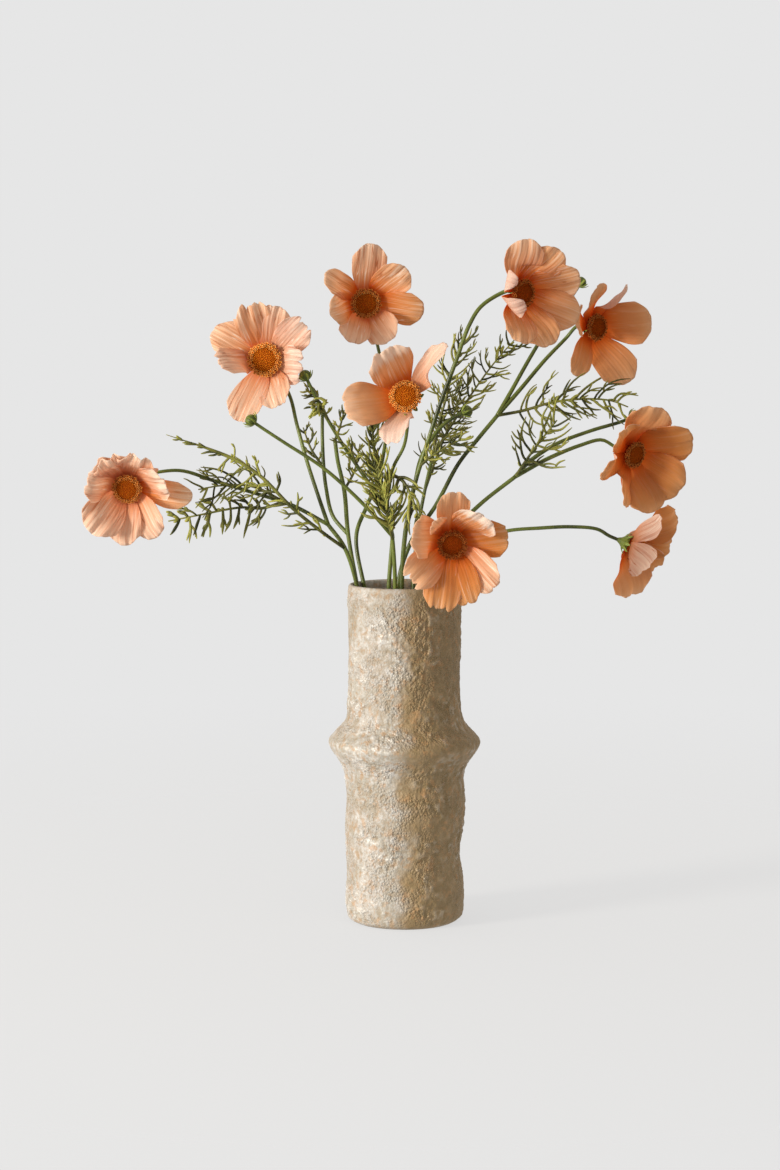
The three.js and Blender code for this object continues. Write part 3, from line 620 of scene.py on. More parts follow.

# Blooms: the middle of the petal ring, the way it looks, how large and dark its eye is, the darkness
# partly painted shade, how its petals and bracts differ from the usual ones, with deep and pale tones
# that are partly painted shade and painted light, and each petal as clock angle, lift, length, width and
# turn about its rib, with what it has of its own
blooms = {
    "left": {
        "at": (-208, -25, 336), "looks": (-0.08, -0.96, -0.28), "eye": 0.9, "dark": 0.5,
        "lines": 0.8, "pleat": 0.5, "pale": 0.5, "teeth": 0.3, "crumple": 0.9, "ruffle": 1.0,
        "petals": [
            (150, 38, 38, 36, 0), (107, 35, 40, 32, 0), (65, 33, 41, 33, 0),
            (19, 33, 42, 31, 0, {"fringe": 0.6}),
            (352, 4, 51, 25, 0, {"ruffle": 0.2, "teeth": 0, "crumple": 0.1, "pale": 0}),
            (226, 40, 48, 32, 0, {"crumple": 0.2, "teeth": 0}),
            (265, 25, 46, 27, 0, {"crumple": 0.2, "teeth": 0}),
            (303, 23, 46, 28, 0, {"crumple": 0.2, "teeth": 0})]},
    "upper_left": {
        "at": (-105, 0, 430), "looks": (-0.15, -0.98, 0.12), "eye": 1.05, "dark": 0.1,
        "lines": 0.9, "pleat": 0.6, "teeth": 1.0, "crumple": 0.3, "ruffle": 0.8,
        "petals": [
            (102, 30, 49, 30, 0, {"pale": 0.15, "ruffle": 1.2}),
            (74, 23, 46, 27, 0, {"pale": 0.45, "teeth": 0.3}), (39, 19, 46, 27, 0, {"pale": 0.85}),
            (348, 35, 40, 30, 0, {"pale": 0.95, "crumple": 0.8, "ruffle": 1.3}),
            (292, 26, 45, 27, 0, {"deep": 0.25, "pale": 0.45, "teeth": 0.3}),
            (249, 15, 54, 29, 0, {"deep": 0.3, "pale": 0.45, "teeth": 0.2}),
            (186, 46, 46, 26, 25, {"pale": 0.5, "crumple": 0.8}),
            (150, 6, 49, 27, 0, {"pale": 0.2, "teeth": 0.1, "ruffle": 0.2})]},
    "top": {
        "at": (-30, 40, 474), "looks": (0.1, -0.98, -0.15), "eye": 0.94, "dark": 0.55, "lines": 0.6,
        "petals": [
            (143, 26, 47, 22, 28), (186, 44, 41, 25, 0), (245, 39, 39, 25, 0, {"pale": 0.3}),
            (303, 37, 40, 28, 0, {"pale": 0.35}), (354, 19, 48, 27, 0, {"deep": 0.7}),
            (44, 23, 46, 29, 0, {"lines": 0.8}), (86, 11, 49, 28, 0, {"pale": 0.3, "lines": 1})]},
    "middle": {
        "at": (1, -50, 403), "looks": (-0.1, -0.95, 0.25), "eye": 0.95, "dark": 0.2, "bractReach": 1.9,
        "lines": 0.25, "deep": 0.15, "teeth": 0.6, "crumple": 0.9, "ruffle": 0.8,
        "petals": [
            (193, 19, 50, 37, 0, {"fringe": 0.2, "lines": 0.1}),
            (115, 43, 46, 36, 0, {"fringe": 0.65, "crumple": 1.3, "lines": 0.5}),
            (48, 27, 55, 22, -64, {"fold": 0.35, "pale": 0.8, "lines": 0.5}),
            (260, 30, 47, 26, 20, {"fold": 0.25, "pale": 1})]},
    "top_right": {
        "at": (86, -11, 481), "looks": (0.52, -0.85, -0.08), "eye": 0.84, "dark": 0.8,
        "lines": 0.4, "pleat": 0.6, "deep": 0.2,
        "petals": [
            (103, 26, 48, 29, -42, {"pale": 0.2, "lines": 0.8}),
            (66, 36, 48, 30, -26, {"lines": 0.8}), (22, 36, 49, 30, 0, {"lines": 0.8}),
            (335, 28, 51, 30, 0), (290, 34, 49, 29, 0, {"deep": 0.5}),
            (252, 35, 46, 27, 0, {"deep": 0.4}), (210, 46, 42, 19, 0, {"hook": 120, "from": 0.66}),
            (156, 34, 42, 16, 0, {"hook": 150, "from": 0.7})]},
    "back_right": {
        "at": (145, 44, 455), "looks": (0.61, -0.79, -0.05), "eye": 0.84, "dark": 0.75,
        "lines": 0.12, "deep": 0.6, "teeth": 0.1, "ruffle": 0.4,
        "petals": [
            (11, 48, 48, 36, 0), (293, 28, 53, 33, 0), (240, 8, 44, 19, 0), (70, 38, 46, 20, 50),
            (113, 34, 44, 26, 0), (167, 31, 44, 24, 0)]},
    "right": {
        "at": (170, -16, 361), "looks": (0.6, -0.77, -0.22), "eye": 0.82, "dark": 0.7, "deep": 0.9,
        "petals": [
            (88, 27, 46, 36, -35, {"deep": 0.5}), (26, 37, 50, 38, 0), (322, 39, 50, 36, 0),
            (284, 32, 50, 32, 0), (247, 28, 46, 21, -32), (203, 16, 41, 20, -42),
            (140, 26, 39, 28, -20)]},
    "low_right": {
        "at": (172, 4, 290), "looks": (0.91, 0.12, -0.38), "eye": 1.0, "dark": 0.5,
        "pleat": 0.5, "deep": 0.9, "teeth": 0.15,
        "petals": [
            (136, 13, 41, 21, 0, {"lines": 1, "pleat": 1, "deep": 0}),
            (201, 21, 38, 27, -36, {"lines": 1, "pleat": 1, "deep": 0}),
            (313, 28, 58, 34, 40, {"deep": 0.6}), (344, 44, 52, 28, 30), (25, 50, 52, 26, -35),
            (62, 40, 53, 31, -58)]},
    "front": {
        "at": (34, -80, 298), "looks": (0.08, -0.98, -0.18), "eye": 0.88, "dark": 1.0,
        "lines": 0.3, "pleat": 0.5, "deep": 0.5, "teeth": 0.35, "ruffle": 0.6,
        "petals": [
            (90, 12, 43, 26, 0, {"deep": 0.15}),
            (52, 38, 45, 33, -8, {"fringe": 1, "lines": 0.9, "deep": 0.3}),
            (11, 13, 44, 32, 0, {"deep": 1.0}), (318, 33, 50, 28, 0, {"pale": 0.35, "lines": 0.9}),
            (285, 32, 50, 27, 0, {"deep": 1.0}), (257, 28, 53, 29, 0, {"teeth": 0.9, "deep": 1.0}),
            (216, 28, 46, 28, 0, {"teeth": 1.4, "deep": 0}), (160, 30, 39, 32, 12, {"deep": 0}),
            (124, 36, 34, 17, 0, {"deep": 0.2})]},
}


# One piece for each bloom, made by a function and set in the bloom's place
def makeEach(maker, material, piece, node, seed):
    total = 0
    for number, (name, bloom) in enumerate(blooms.items()):
        one = maker(bloom, np.random.default_rng(seed + number))
        one = placed(one, axesAlong(bloom["looks"]), bloom["at"])
        total += makePiece(piece + name, one, material, [node + name])
    return total


# Stalks

stalk = {
    # its radii at the foot, where it forks and at its end
    "foot": 2.0, "fork": 1.55, "top": 1.25, "sides": 12, "step": 3.0, "ridge": 0.06,
    # how the feet stand in the vase, and how far behind a bloom a stalk bends into its way and ends
    "turn": 110, "narrowing": 0.8, "footHeight": 9.8, "mouthHeight": 252, "neck": (17, 5),
    "swell": 22, "patch": 40,
}


# From the foot straight to the mouth, then up through its rises. The foot's place on the floor is the
# one at the mouth turned by 110 degrees and drawn in.
def stemWay(stem):
    x, y = stem["mouth"]
    c, s = math.cos(radians(stalk["turn"])), math.sin(radians(stalk["turn"]))
    foot = np.array([stalk["narrowing"] * (x * c + y * s), stalk["narrowing"] * (y * c - x * s),
                     stalk["footHeight"]])
    top = np.array([x, y, stalk["mouthHeight"]], float)
    return [foot, foot + 0.7 * (top - foot), top, *np.array(stem["rises"], float)]


# Every way of a stem with its two radii, and where it ends. A stalk bends round behind its bloom and
# enters it along the way the bloom looks.
def stalkWays(stem):
    branches = stem.get("branches", [])
    ends = [(stemWay(stem), stem.get("end"), (stalk["foot"], stalk["fork" if branches else "top"]))]
    ends += [([*np.array(way, float)], end, (stalk["fork"], stalk["top"])) for way, end in branches]
    for way, end, radii in ends:
        if end in blooms:
            bloom = blooms[end]
            way += [bloom["at"] - back * unit(bloom["looks"]) for back in stalk["neck"]]
        elif end:
            way += [np.array(end, float)]
        yield way, end, radii


# A tapering tube with four faint ridges, thicker by an eighth in a few slow swells
def stalkPart(way, radii):
    path = smoothLine(way, 12)
    count = max(6, int(lengths(path)[-1] / stalk["step"]))
    path = evenly(path, count)
    share = np.linspace(0, 1, count)
    radius = (radii[0] + (radii[1] - radii[0]) * share) * (0.96 + 0.12 * noise(path, stalk["swell"], 3))
    pale = noise(path, stalk["patch"], 7)
    return tubes(path[None], radius[None], stalk["sides"], {"pale": pale[None]}, stalk["ridge"])


# Fronds

leaf = {
    "rib": 1.25, "thread": 0.84, "rings": 9, "sides": 5, "ribSides": 6, "ribRings": 60,
    "jitter": 17, "sway": 15, "lean": 0.35, "curl": 0.22, "tufts": 1.6, "tuftReach": (0.16, 0.4),
    # what a frond may have of its own: how far its leaflets droop, their angle off the rib at its root
    # and its tip, how much they bend, how broad they are, how much of a blade they have, how stout the
    # rib stays, past what share of it they lie close, in how many sets they grow, and to which side the
    # later sets hang
    "droop": 0, "away": (74, 50), "bend": 46, "wide": 1, "blade": 0, "tail": 0, "close": 2, "sets": 2,
    "hang": 0,
    # forks as [place on the leaflet, turn away from it, length, how many carry one], on leaflets of
    # this length in mm or more
    "forks": [(0.42, 40, 0.46, 0.45), (0.5, -38, 0.4, 0.45), (0.72, 32, 0.28, 0.3)],
    "forkWidth": 0.86, "forkFrom": 5,
}


# A gentle, repeatable unevenness between -1 and 1
def uneven(index, seed):
    return np.sin(2.4 * np.asarray(index, float) + 1.7 * seed + 0.9)


# Lays a flat map, along + aside · i, on the rib's curve, off its face by some millimetres, and lets it
# droop by the square of the distance aside
def laidOn(frond, flat, off):
    a, aside = flat.real, flat.imag
    along, facing = frond["along"], frond["facing"]
    held = np.clip(a, 0, along[-1])
    tangent = unit(between(held, along, frond["heading"]))
    sideways = unit(np.cross(facing, tangent))
    down = np.array([0, 0, -1]) * (frond["droop"] * aside ** 2 / frond["reach"])[..., None]
    return (between(held, along, frond["line"]) + tangent * (a - held)[..., None]
            + sideways * aside[..., None] + off[..., None] * facing + down)


# Threads in the frond's map. One leaves its root at one angle off the rib and turns evenly to another
# at its tip, with a sine of sway. It may broaden to a blade by a share, leans out of the frond's face
# and curls. Returns them with their ways in the map and their angles, for what grows on them.
def threads(frond, root, start, end, size, lean, width, pale, broad=1):
    draw, count, q = frond["draw"], len(size), np.linspace(0, 1, frond["rings"])
    sway = radians(frond["sway"]) * draw.uniform(-1, 1, (count, 1))
    angle = start[:, None] + (end - start)[:, None] * q + sway * np.sin(2 * np.pi * q)
    step = np.cos(angle) + 1j * np.sin(angle)
    gone = np.cumsum((step[:, 1:] + step[:, :-1]) / 2, axis=1) / (len(q) - 1)
    flat = root[:, None] + size[:, None] * np.concatenate([np.zeros((count, 1)), gone], 1)
    curl = frond["curl"] * size * draw.uniform(-1, 1, count)
    path = laidOn(frond, flat, lean[:, None] * np.abs(flat.imag) + curl[:, None] * q ** 2)
    taper = 1 - 0.38 * q ** 2 + broad * frond["blade"] * (0.75 * np.sin(np.pi * q ** 1.5) - 0.2)
    first = unit(frond["facing"] + 0.5 * draw.normal(0, 1, (count, 3)))
    one = tubes(path, width[:, None] * taper * (1 - 0.45 * q ** 9), frond["sides"],
                {"pale": pale[:, None] + 0.35 * q ** 1.5}, flat=1 + 0.5 * frond["blade"], first=first)
    return one, flat, angle


# Leaflets in sets: the first changes sides along the rib as in the model, the second grows opposite it,
# and later ones are shorter. Their length swells by a sine along the rib, and some carry forks.
def leaflets(frond, number, seed):
    draw, jitter = frond["draw"], frond["jitter"]
    k, late = (a.ravel() for a in np.meshgrid(np.arange(number), np.arange(frond["sets"])))
    count = len(k)
    side = np.where((k + late) % 2 == 0, -1.0, 1.0)
    side = np.where(late > 0, frond["hang"] or side, side)
    share = 0.12 + 0.84 * (k + 0.5 + 0.22 * late + 0.24 * draw.uniform(-1, 1, count)) / number
    share = np.clip(share, 0.04, 0.985)
    close = smoothStep(share, frond["close"] - 0.04, frond["close"] + 0.04)
    size = frond["reach"] * (0.8 + 0.36 * np.sin(np.pi * share))
    size = size * (1 + 0.16 * uneven(k + 20 * late, seed))
    size = size * draw.uniform(0.74, 1.14, count) * np.where(late > 1, 0.72, 1) * (1 - 0.55 * close)
    low, high = frond["away"]
    start = np.radians(low + (high - low) * share + jitter * draw.uniform(-1, 1, count))
    start = start * (1 - 0.75 * close)
    end = start - np.radians(frond["bend"] + jitter * draw.uniform(-1, 1, count)) * (1 - close)
    lean = frond["lean"] * (0.5 * uneven(k + 5, seed) + draw.uniform(-0.9, 0.9, count))
    width = frond["thread"] * frond["wide"] * draw.uniform(0.85, 1.15, count)
    root = share * frond["along"][-1]
    pale = draw.uniform(-0.15, 0.5, count)
    one, flat, angle = threads(frond, root, side * start, side * end, size, lean, width, pale)
    parts = [one]
    for at, turn, far, often in frond["forks"]:
        grown = (size > frond["forkFrom"]) & (close < 0.5)
        kept = np.flatnonzero((draw.uniform(0, 1, count) < often) & grown)
        if len(kept):
            ring = int(round(at * (frond["rings"] - 1)))
            way = angle[kept, ring]
            far = far * size[kept] * draw.uniform(0.7, 1.25, len(kept))
            fork, _, _ = threads(frond, flat[kept, ring], way + radians(turn), way + radians(0.3 * turn),
                                 far, lean[kept], width[kept] * frond["forkWidth"], pale[kept] + 0.1, 0)
            parts.append(fork)
    return parts


# Short threads bunched about the roots of the leaflets
def tufts(frond, number):
    draw = frond["draw"]
    count = int(frond["tufts"] * number * frond["sets"] / 2)
    share = 0.1 + 0.86 * (draw.integers(0, number, count) + 0.5) / number + draw.normal(0, 0.012, count)
    share = np.clip(share, 0.03, 0.97)
    close = share > frond["close"]
    side = np.where(draw.uniform(0, 1, count) < 0.5, -1.0, 1.0)
    size = frond["reach"] * draw.uniform(*frond["tuftReach"], count) * (1 - 0.5 * close)
    start = side * np.radians(draw.uniform(20, 85, count)) * np.where(close, 0.3, 1)
    root = share * frond["along"][-1]
    lean = draw.uniform(-1, 1, count)
    width = frond["thread"] * frond["wide"] * draw.uniform(0.8, 1.2, count)
    pale = draw.uniform(0.1, 0.7, count)
    return threads(frond, root, start, start * 0.4, size, lean, width, pale)[0]


# A frond: its leaflets, its tufts, and its rib, a tube that thins evenly or only near its tip
def frondPart(row, seed):
    rib, number, reach, *own = row
    line = evenly(smoothLine(rib, 16), 200)
    frond = {**leaf, **dict(*own), "reach": reach, "line": line, "along": lengths(line),
             "heading": unit(np.gradient(line, axis=0)),
             "facing": unit([0.12 * uneven(1, seed), -1, 0.25 * uneven(2, seed)]),
             "draw": np.random.default_rng(700 + seed)}
    parts = [*leaflets(frond, number, seed), tufts(frond, number)]
    w = np.linspace(0, 1, frond["ribRings"])
    tail = frond["tail"]
    taper = (1 - 0.6 * w) * (1 - tail) + tail * (1 - 0.8 * smoothStep(w, 0.7, 1))
    radius = frond["rib"] * (0.5 + 0.5 * frond["wide"]) * taper
    path, pale = evenly(line, len(w)), 0.1 + 0.3 * w
    return joined([*parts, tubes(path[None], radius[None], frond["ribSides"], {"pale": pale[None]})])


# Cups, bracts and buds

cup = {
    "profile": [[0, -11], [1.5, -10], [2.6, -7.6], [4.2, -5.6], [5.1, -3.8], [5.0, -2.2], [4.2, -1.4],
                [0, -1.4]],
    "sides": 32, "ridge": 0.05,
    "star": {"radius": 3.8, "height": -5.2, "lift": 14, "bend": 24, "length": 6.8, "width": 2.8},
}
bud = {
    "radius": 4.6, "sides": 32, "rows": 14, "groove": 0.07, "flatter": 0.93,
    "star": {"radius": 1.6, "height": -3.956, "lift": 22, "bend": 28, "length": 8.0, "width": 1.9},
}
bract = {"count": 8, "rows": 9, "columns": 5, "thickness": 0.35, "dip": 0.25}


# A star of narrow pointed bracts, each running out from its root and turning by a bend towards its tip.
# At a share t of its length the half-width is 0.58 (0.35 + 2.2 t) (1 − t)^0.9 of its width, and its
# sides stand up by s².
def bracts(star, seed):
    draw = np.random.default_rng(seed)
    t = np.linspace(0, 1, bract["rows"])[:, None]
    s = np.linspace(-1, 1, bract["columns"])[None, :]
    half = star["width"] / 2 * (0.35 + 2.2 * t) * (1 - t) ** 0.9 * 1.15 + 0.04
    parts = []
    for k in range(bract["count"]):
        turn = 2 * np.pi * (k + 0.2 * draw.uniform(-1, 1)) / bract["count"]
        reach = star["length"] * draw.uniform(0.82, 1.08)
        slope = radians(star["lift"] + draw.uniform(-9, 9)) + radians(star["bend"]) * t
        radius = star["radius"] + reach * t * np.cos(slope)
        height = star["height"] + reach * t * np.sin(slope) + bract["dip"] * half * s ** 2
        side = np.array([-np.sin(turn), np.cos(turn), 0])
        sheet = polar(radius, turn, height) + (s * half)[..., None] * side
        parts.append(shell(sheet, bract["thickness"], {"pale": 0.35 + 0.5 * t}))
    return parts


# The green cup: a ribbed turned body, and bracts that stand out from its widest row
def cupPart(bloom, seed):
    ribs = 1 + cup["ridge"] * np.cos(around(cup["sides"]) * 8)
    pale = np.linspace(0.2, 0.75, len(cup["profile"]) - 2)[:, None]
    body = turned(cup["profile"], cup["sides"], ribs, values={"pale": pale})
    grown = bloom.get("bractReach", 1)
    star = dict(cup["star"])
    star["length"] *= grown
    star["width"] *= math.sqrt(grown)
    return placed(joined([body, *bracts(star, seed)]), axesAlong(bloom["looks"]), bloom["at"])


# A bud is a globe a little flattened, its closed sepals parted by grooves, over a star of bracts.
def budPart(at, before, seed):
    latitude = np.linspace(-np.pi / 2, np.pi / 2, bud["rows"])
    profile = bud["radius"] * np.stack([np.cos(latitude), bud["flatter"] * np.sin(latitude)], -1)
    ridge = 1 - np.abs(np.sin(around(bud["sides"]) * 4))
    groove = 1 - bud["groove"] * ridge ** 3 * np.cos(latitude[1:-1, None])
    body = turned(profile, bud["sides"], groove, values={"pale": 0.05 + 0.35 * ridge})
    axes = axesAlong(at - before, (0.2, -0.9, 0.1))
    return placed(joined([body, *bracts(bud["star"], seed)]), axes, at)


# Living green skin of stalks, leaves and buds, grown smooth with a thin wax: satin, dark olive in the
# stalks, and yellow-green where a leaf or bract thins out
def greenSkin(add, place, dark, light, roughness):
    blotch = add("TexNoise", {"Vector": place, "Scale": perMetre(14), "Detail": 3.0})
    fine = add("TexNoise", {"Vector": place, "Scale": perMetre(0.9), "Detail": 2.0})
    share = add("Math", ["pale", blotch], operation="ADD")
    colour = layered(add, dark, [(share, 0.4, 1.3, 0, 1, light), (fine, 0.5, 0.8, 0, 0.3, "#9c9c52")])
    return add("BsdfPrincipled", {
        "Base Color": colour, "Roughness": roughness, "IOR": 1.45, "Specular IOR Level": 0.3,
        "Subsurface Weight": 0.08, "Subsurface Scale": 0.002,
        "Normal": add("Bump", {"Height": fine, "Strength": 0.25, "Distance": 0.0002})})


# Each stem's stalks as one piece, its cups and buds as another, and its fronds as a third
def makeGreens():
    stalkGreen = newMaterial("greenStalkSkin", greenSkin, "#1d2510", "#5f6a2e", 0.38)
    leafGreen = newMaterial("featherLeafSkin", greenSkin, "#282c0e", "#989745", 0.5)
    budGreen = newMaterial("budSepalSkin", greenSkin, "#3c4618", "#84913c", 0.45)
    total = 0
    for number, (name, stem) in enumerate(stems.items()):
        stalks, green = [], []
        for k, (way, end, radii) in enumerate(stalkWays(stem)):
            stalks.append(stalkPart(way, radii))
            if end in blooms:
                green.append(cupPart(blooms[end], 300 + 10 * number + k))
            elif end:
                green.append(budPart(way[-1], way[-2], 500 + 10 * number + k))
        fronds = [frondPart(row, 10 * number + k) for k, row in enumerate(stem.get("fronds", []))]
        total += makePiece("stalks_" + name, joined(stalks), stalkGreen, ["stem_" + name])
        for kind, parts, skin in (("cups_", green, budGreen), ("leaves_", fronds, leafGreen)):
            if parts:
                total += makePiece(kind + name, joined(parts), skin)
    return total


print("stalks, leaves, cups and buds", makeGreens())


# Petals

petal = {
    # its root's distance from the middle and share of the width, how far it tilts over the next petal,
    # how much less steep its tip is, and how much it is hollowed
    "root": 4.4, "rootWidth": 0.24, "pinwheel": 13, "curl": 14, "cup": 0.05, "thickness": 0.34,
    "rows": 28, "columns": 50, "pleatDepth": 0.2,
    "pleats": ((4.3, 0.6), (6.9, 0.4)),  # how many cross the petal, and their share of the depth
    "ruffles": ((1.3, 0.11, 4), (3.1, 0.04, 6)),  # how many, how deep, and how late they grow
    "creaseSize": (4.2, 6.5, 1), "creaseDepth": 2.6, "lumpSize": (11, 15, 1), "lumpDepth": 1.5,
    # what a bloom or a petal may have of its own, each from 0 to about 1
    # the deep value is partly a petal's own deeper orange and partly painted shade; the pale value partly
    # its own paler pink and partly painted light
    "deep": 0, "pale": 0, "lines": 0.1, "fringe": 0, "teeth": 0.12, "crumple": 0.1, "ruffle": 0.5,
    "pleat": 0.4, "fold": 0,
    "hook": 0, "from": 1,  # the angle that a curled tip turns by, and where it starts
}


# How far along the petal each row of the grid comes: its sides stay behind its middle by |s|^2.6, and
# its tip has notches where one sine crosses zero, with finer ones of another.
def petalEdge(style, s, t, phase):
    teeth = style["teeth"]
    edge = 0.98 - (0.2 - 0.07 * teeth) * np.abs(s) ** 2.6 - 0.025 * teeth * np.cos(2 * np.pi * s)
    notch = (1 - np.abs(np.sin(1.5 * np.pi * s + 2.2 * phase[0]))) ** 2.2
    fine = (1 - np.abs(np.sin(7 * np.pi * s + 6 * phase[1]))) ** 2
    return t * edge - t ** 9 * teeth * (0.085 * notch + 0.012 * fine) * (1 - 0.5 * np.abs(s))


# The rib as [out, up] and its slope: flat out under the eye, then up to its tip in a cubic curve,
# (1 − w)³ p0 + 3w (1 − w)² p1 + 3w² (1 − w) p2 + w³ tip. Past its bend a hooked one follows a circle,
# along the slope by R sin a and up its face by R (1 − cos a), and a grows evenly to the hook's angle.
def petalRib(style, along, length, rise):
    end = rise - radians(style["curl"])
    tip = length * np.array([math.cos(rise), math.sin(rise)])
    p0, p1 = np.array([style["root"], 0]), np.array([18 + 7 * math.sin(rise), -1.6 * math.sin(rise)])
    p2 = tip - 0.42 * length * np.array([math.cos(end), math.sin(end)])
    w = along[..., None]
    rib = (1 - w) ** 3 * p0 + 3 * w * (1 - w) ** 2 * p1 + 3 * w ** 2 * (1 - w) * p2 + w ** 3 * tip
    slope = unit((1 - w) ** 2 * (p1 - p0) + 2 * w * (1 - w) * (p2 - p1) + w ** 2 * (tip - p2))
    if not style["hook"]:
        return rib, slope
    start, hook, middle = style["from"], radians(style["hook"]), along.shape[1] // 2
    a = (np.clip(along - start, 0, 1) / (1 - start) * hook)[..., None]
    bend = np.argmin(np.abs(along[:, middle] - start))
    foot, ahead = rib[bend, middle], slope[bend, middle]
    above = np.array([-ahead[1], ahead[0]])
    radius = length * (1 - start) / hook
    return (np.where(a > 0, foot + radius * (np.sin(a) * ahead + (1 - np.cos(a)) * above), rib),
            np.where(a > 0, np.cos(a) * ahead + np.sin(a) * above, slope))


# A petal: its half-width is (0.24 + 0.76 sin(0.68 π w^0.9)) of the widest at a share w of its length.
# It is raised off its rib by pleats, cosines across it, by ruffles, sines that grow with t⁴ and t⁶,
# by a hollow that grows with s², and by the noise of creases and lumps.
def petalPart(row, bloom, draw):
    clock, lift, length, width, turn, *own = row
    style = {**petal, **bloom, **dict(*own)}
    t = np.linspace(0, 1, style["rows"])[:, None] ** 0.9
    s = np.linspace(-1, 1, style["columns"])[None, :]
    phase = draw.uniform(0, 1, 8)
    along = petalEdge(style, s, t, phase)
    rib, slope = petalRib(style, along, length, radians(lift))
    narrow = style["rootWidth"]
    half = width / 2 * (narrow + (1 - narrow) * np.sin(0.68 * np.pi * np.clip(along, 0, 1) ** 0.9))
    spread = smoothStep(along, 0.25, 0.6)

    warped = s + 0.05 * np.sin(5 * s + 6 * phase[2])
    waves = sum(depth * np.cos(2 * np.pi * (many * warped + shift))
                for (many, depth), shift in zip(style["pleats"], phase[3:5]))
    pleats = style["pleat"] * style["pleatDepth"] * waves * smoothStep(t, 0.08, 0.4) * (1 - 0.4 * t ** 3)
    ruffle = sum(style["ruffle"] * depth * half * t ** late * np.sin(2 * np.pi * (many * s + shift))
                 for (many, depth, late), shift in zip(style["ruffles"], phase[5:7]))
    roll = draw.uniform(-0.05, 0.14) * half * (s ** 2 - 0.3) * smoothStep(t, 0.35, 1)
    back = -draw.uniform(0.0, 0.06) * length * smoothStep(t, 0.72, 1.05) ** 2
    flat = np.stack(np.broadcast_arrays(s * half, along * length, phase[7] * 900), -1)
    crease = style["crumple"] * style["creaseDepth"] * smoothStep(t, 0.6, 1) * (
        noise(flat, style["creaseSize"], 11) - 0.5)
    lumps = style["lumpDepth"] * spread * (noise(flat, style["lumpSize"], 12) - 0.5)
    hollow = spread * half * (style["cup"] * (s ** 2 - 0.3) + style["fold"] * np.sqrt(s ** 2 + 0.02))
    raised = hollow + pleats * half / 14 + ruffle + roll + back + crease + lumps

    angle = radians(clock)
    out = np.array([math.cos(angle), math.sin(angle), 0])
    side = np.array([-math.sin(angle), math.cos(angle), 0])
    up = np.array([0, 0, 1.0])
    twist = (radians(style["pinwheel"]) + radians(turn) * spread)[..., None]
    face = slope[..., :1] * up - slope[..., 1:] * out
    across = np.cos(twist) * side + np.sin(twist) * face
    off = np.cos(twist) * face - np.sin(twist) * side
    sheet = (rib[..., :1] * out + rib[..., 1:] * up + across * (s * half)[..., None]
             + off * raised[..., None])
    # the deep and pale values carry painted shade and painted light, with each petal's own deeper and
    # paler tones
    return shell(sheet, style["thickness"], {
        "share": along, "across": s * half, "crest": waves, "rim": np.abs(s) * smoothStep(t, 0.3, 1),
        "deep": style["deep"] + 0.22 * (draw.uniform(0, 1) - 0.5), "pale": style["pale"],
        "lines": style["lines"], "fringe": style["fringe"], "petalNumber": phase[7] * 40})


# All the petals of a bloom
def petalRing(bloom, draw):
    return joined([petalPart(row, bloom, draw) for row in bloom["petals"]])


# Petal skin, a thin leaf of cells that grew pleated round its veins: matt velvet, apricot from a rust
# root to a paler fringe, streaked lengthwise, with a pale pink underside, and lit through by the lamp;
# some petals are darkened by painted shade and some paled by painted light, mixed with their own tones
def petalSkin(add, place):
    lengthwise = add("Math", ["share", 1.6], operation="MULTIPLY")
    flat = add("CombineXYZ", ["across", lengthwise, "petalNumber"])
    # veins about 1.7 mm apart with finer ones inside, and folds about 3.3 mm apart
    veins = add("TexNoise", {"Vector": flat, "Scale": 0.6, "Detail": 4.0})
    folds = add("TexNoise", {"Vector": flat, "Scale": 0.3, "Detail": 1.0})
    # from root to tip: the face of a petal, the face of a deeper one, which also serves as painted shade,
    # and the far side
    face, richer, far = (add("ValToRGB", ["share"], stops) for stops in (
        [(0, "#dc560c"), (0.2, "#ee7828"), (0.35, "#f09e58"), (0.57, "#efb684"), (0.85, "#f0c297"),
         (1, "#f5d4b4")],
        [(0, "#c84c06"), (0.2, "#dc6e1e"), (0.45, "#d3823e"), (0.8, "#d49252"), (1, "#dcaa76")],
        [(0, "#cf7c3c"), (0.22, "#e6b48e"), (0.5, "#eecdb8"), (1, "#f5e2d6")]))
    # painted light, with the underside's own pale pink: the underside and the pale value mix in the far
    # side's colour
    faded = add("Math", ["under", "pale"], operation="MAXIMUM")
    # painted shade, with the petal's own deeper orange: the deep value mixes in the deeper ramp
    skin = add("Mix", {0: "deep", 6: face, 7: richer}, data_type="RGBA")
    skin = add("Mix", {0: faded, 6: skin, 7: far}, data_type="RGBA")
    # a dark and a light line run where the folds' noise comes close to one of two levels
    offs = (add("Math", [folds, level], operation="SUBTRACT") for level in (0.44, 0.54))
    groove, ridge = (add("Math", [off], operation="ABSOLUTE") for off in offs)
    outer = add("MapRange", ["share", 0.1, 0.45, 0, 0.75], **smooth)
    outer = add("Math", ["lines", outer], operation="MULTIPLY")
    skin = layered(add, skin, [
        (veins, 0.5, 0.64, 0, 0.6, "#f8e4d0"), (veins, 0.32, 0.48, 0.45, 0, "#cb7c40"),
        (groove, 0, 0.016, 1, 0, "#c47238"), (ridge, 0, 0.018, 1, 0, "#fff4e8")], outer)
    tip = add("Math", [veins, 0.3, "share"], operation="MULTIPLY_ADD")
    skin = layered(add, skin, [(tip, 0.84, 1, 0, 1, "#f6e6d8")], "fringe")
    skin = layered(add, skin, [("rim", 0.86, 1, 0, 0.4, "#f6dcc6")])
    ridges = add("Math", ["crest", 0.2, veins], operation="MULTIPLY_ADD")
    lit = add("BsdfPrincipled", {
        "Base Color": skin, "IOR": 1.4, "Roughness": 0.7, "Specular IOR Level": 0.2,
        "Normal": add("Bump", {"Height": ridges, "Strength": 0.4, "Distance": 0.0005})})
    return add("MixShader", [0.55, lit, add("BsdfTranslucent", {"Color": skin})])


petalMaterial = newMaterial("petalSkin", petalSkin)
print("petals", makeEach(petalRing, petalMaterial, "petalRing_", "petals_", 40))


# Eyes

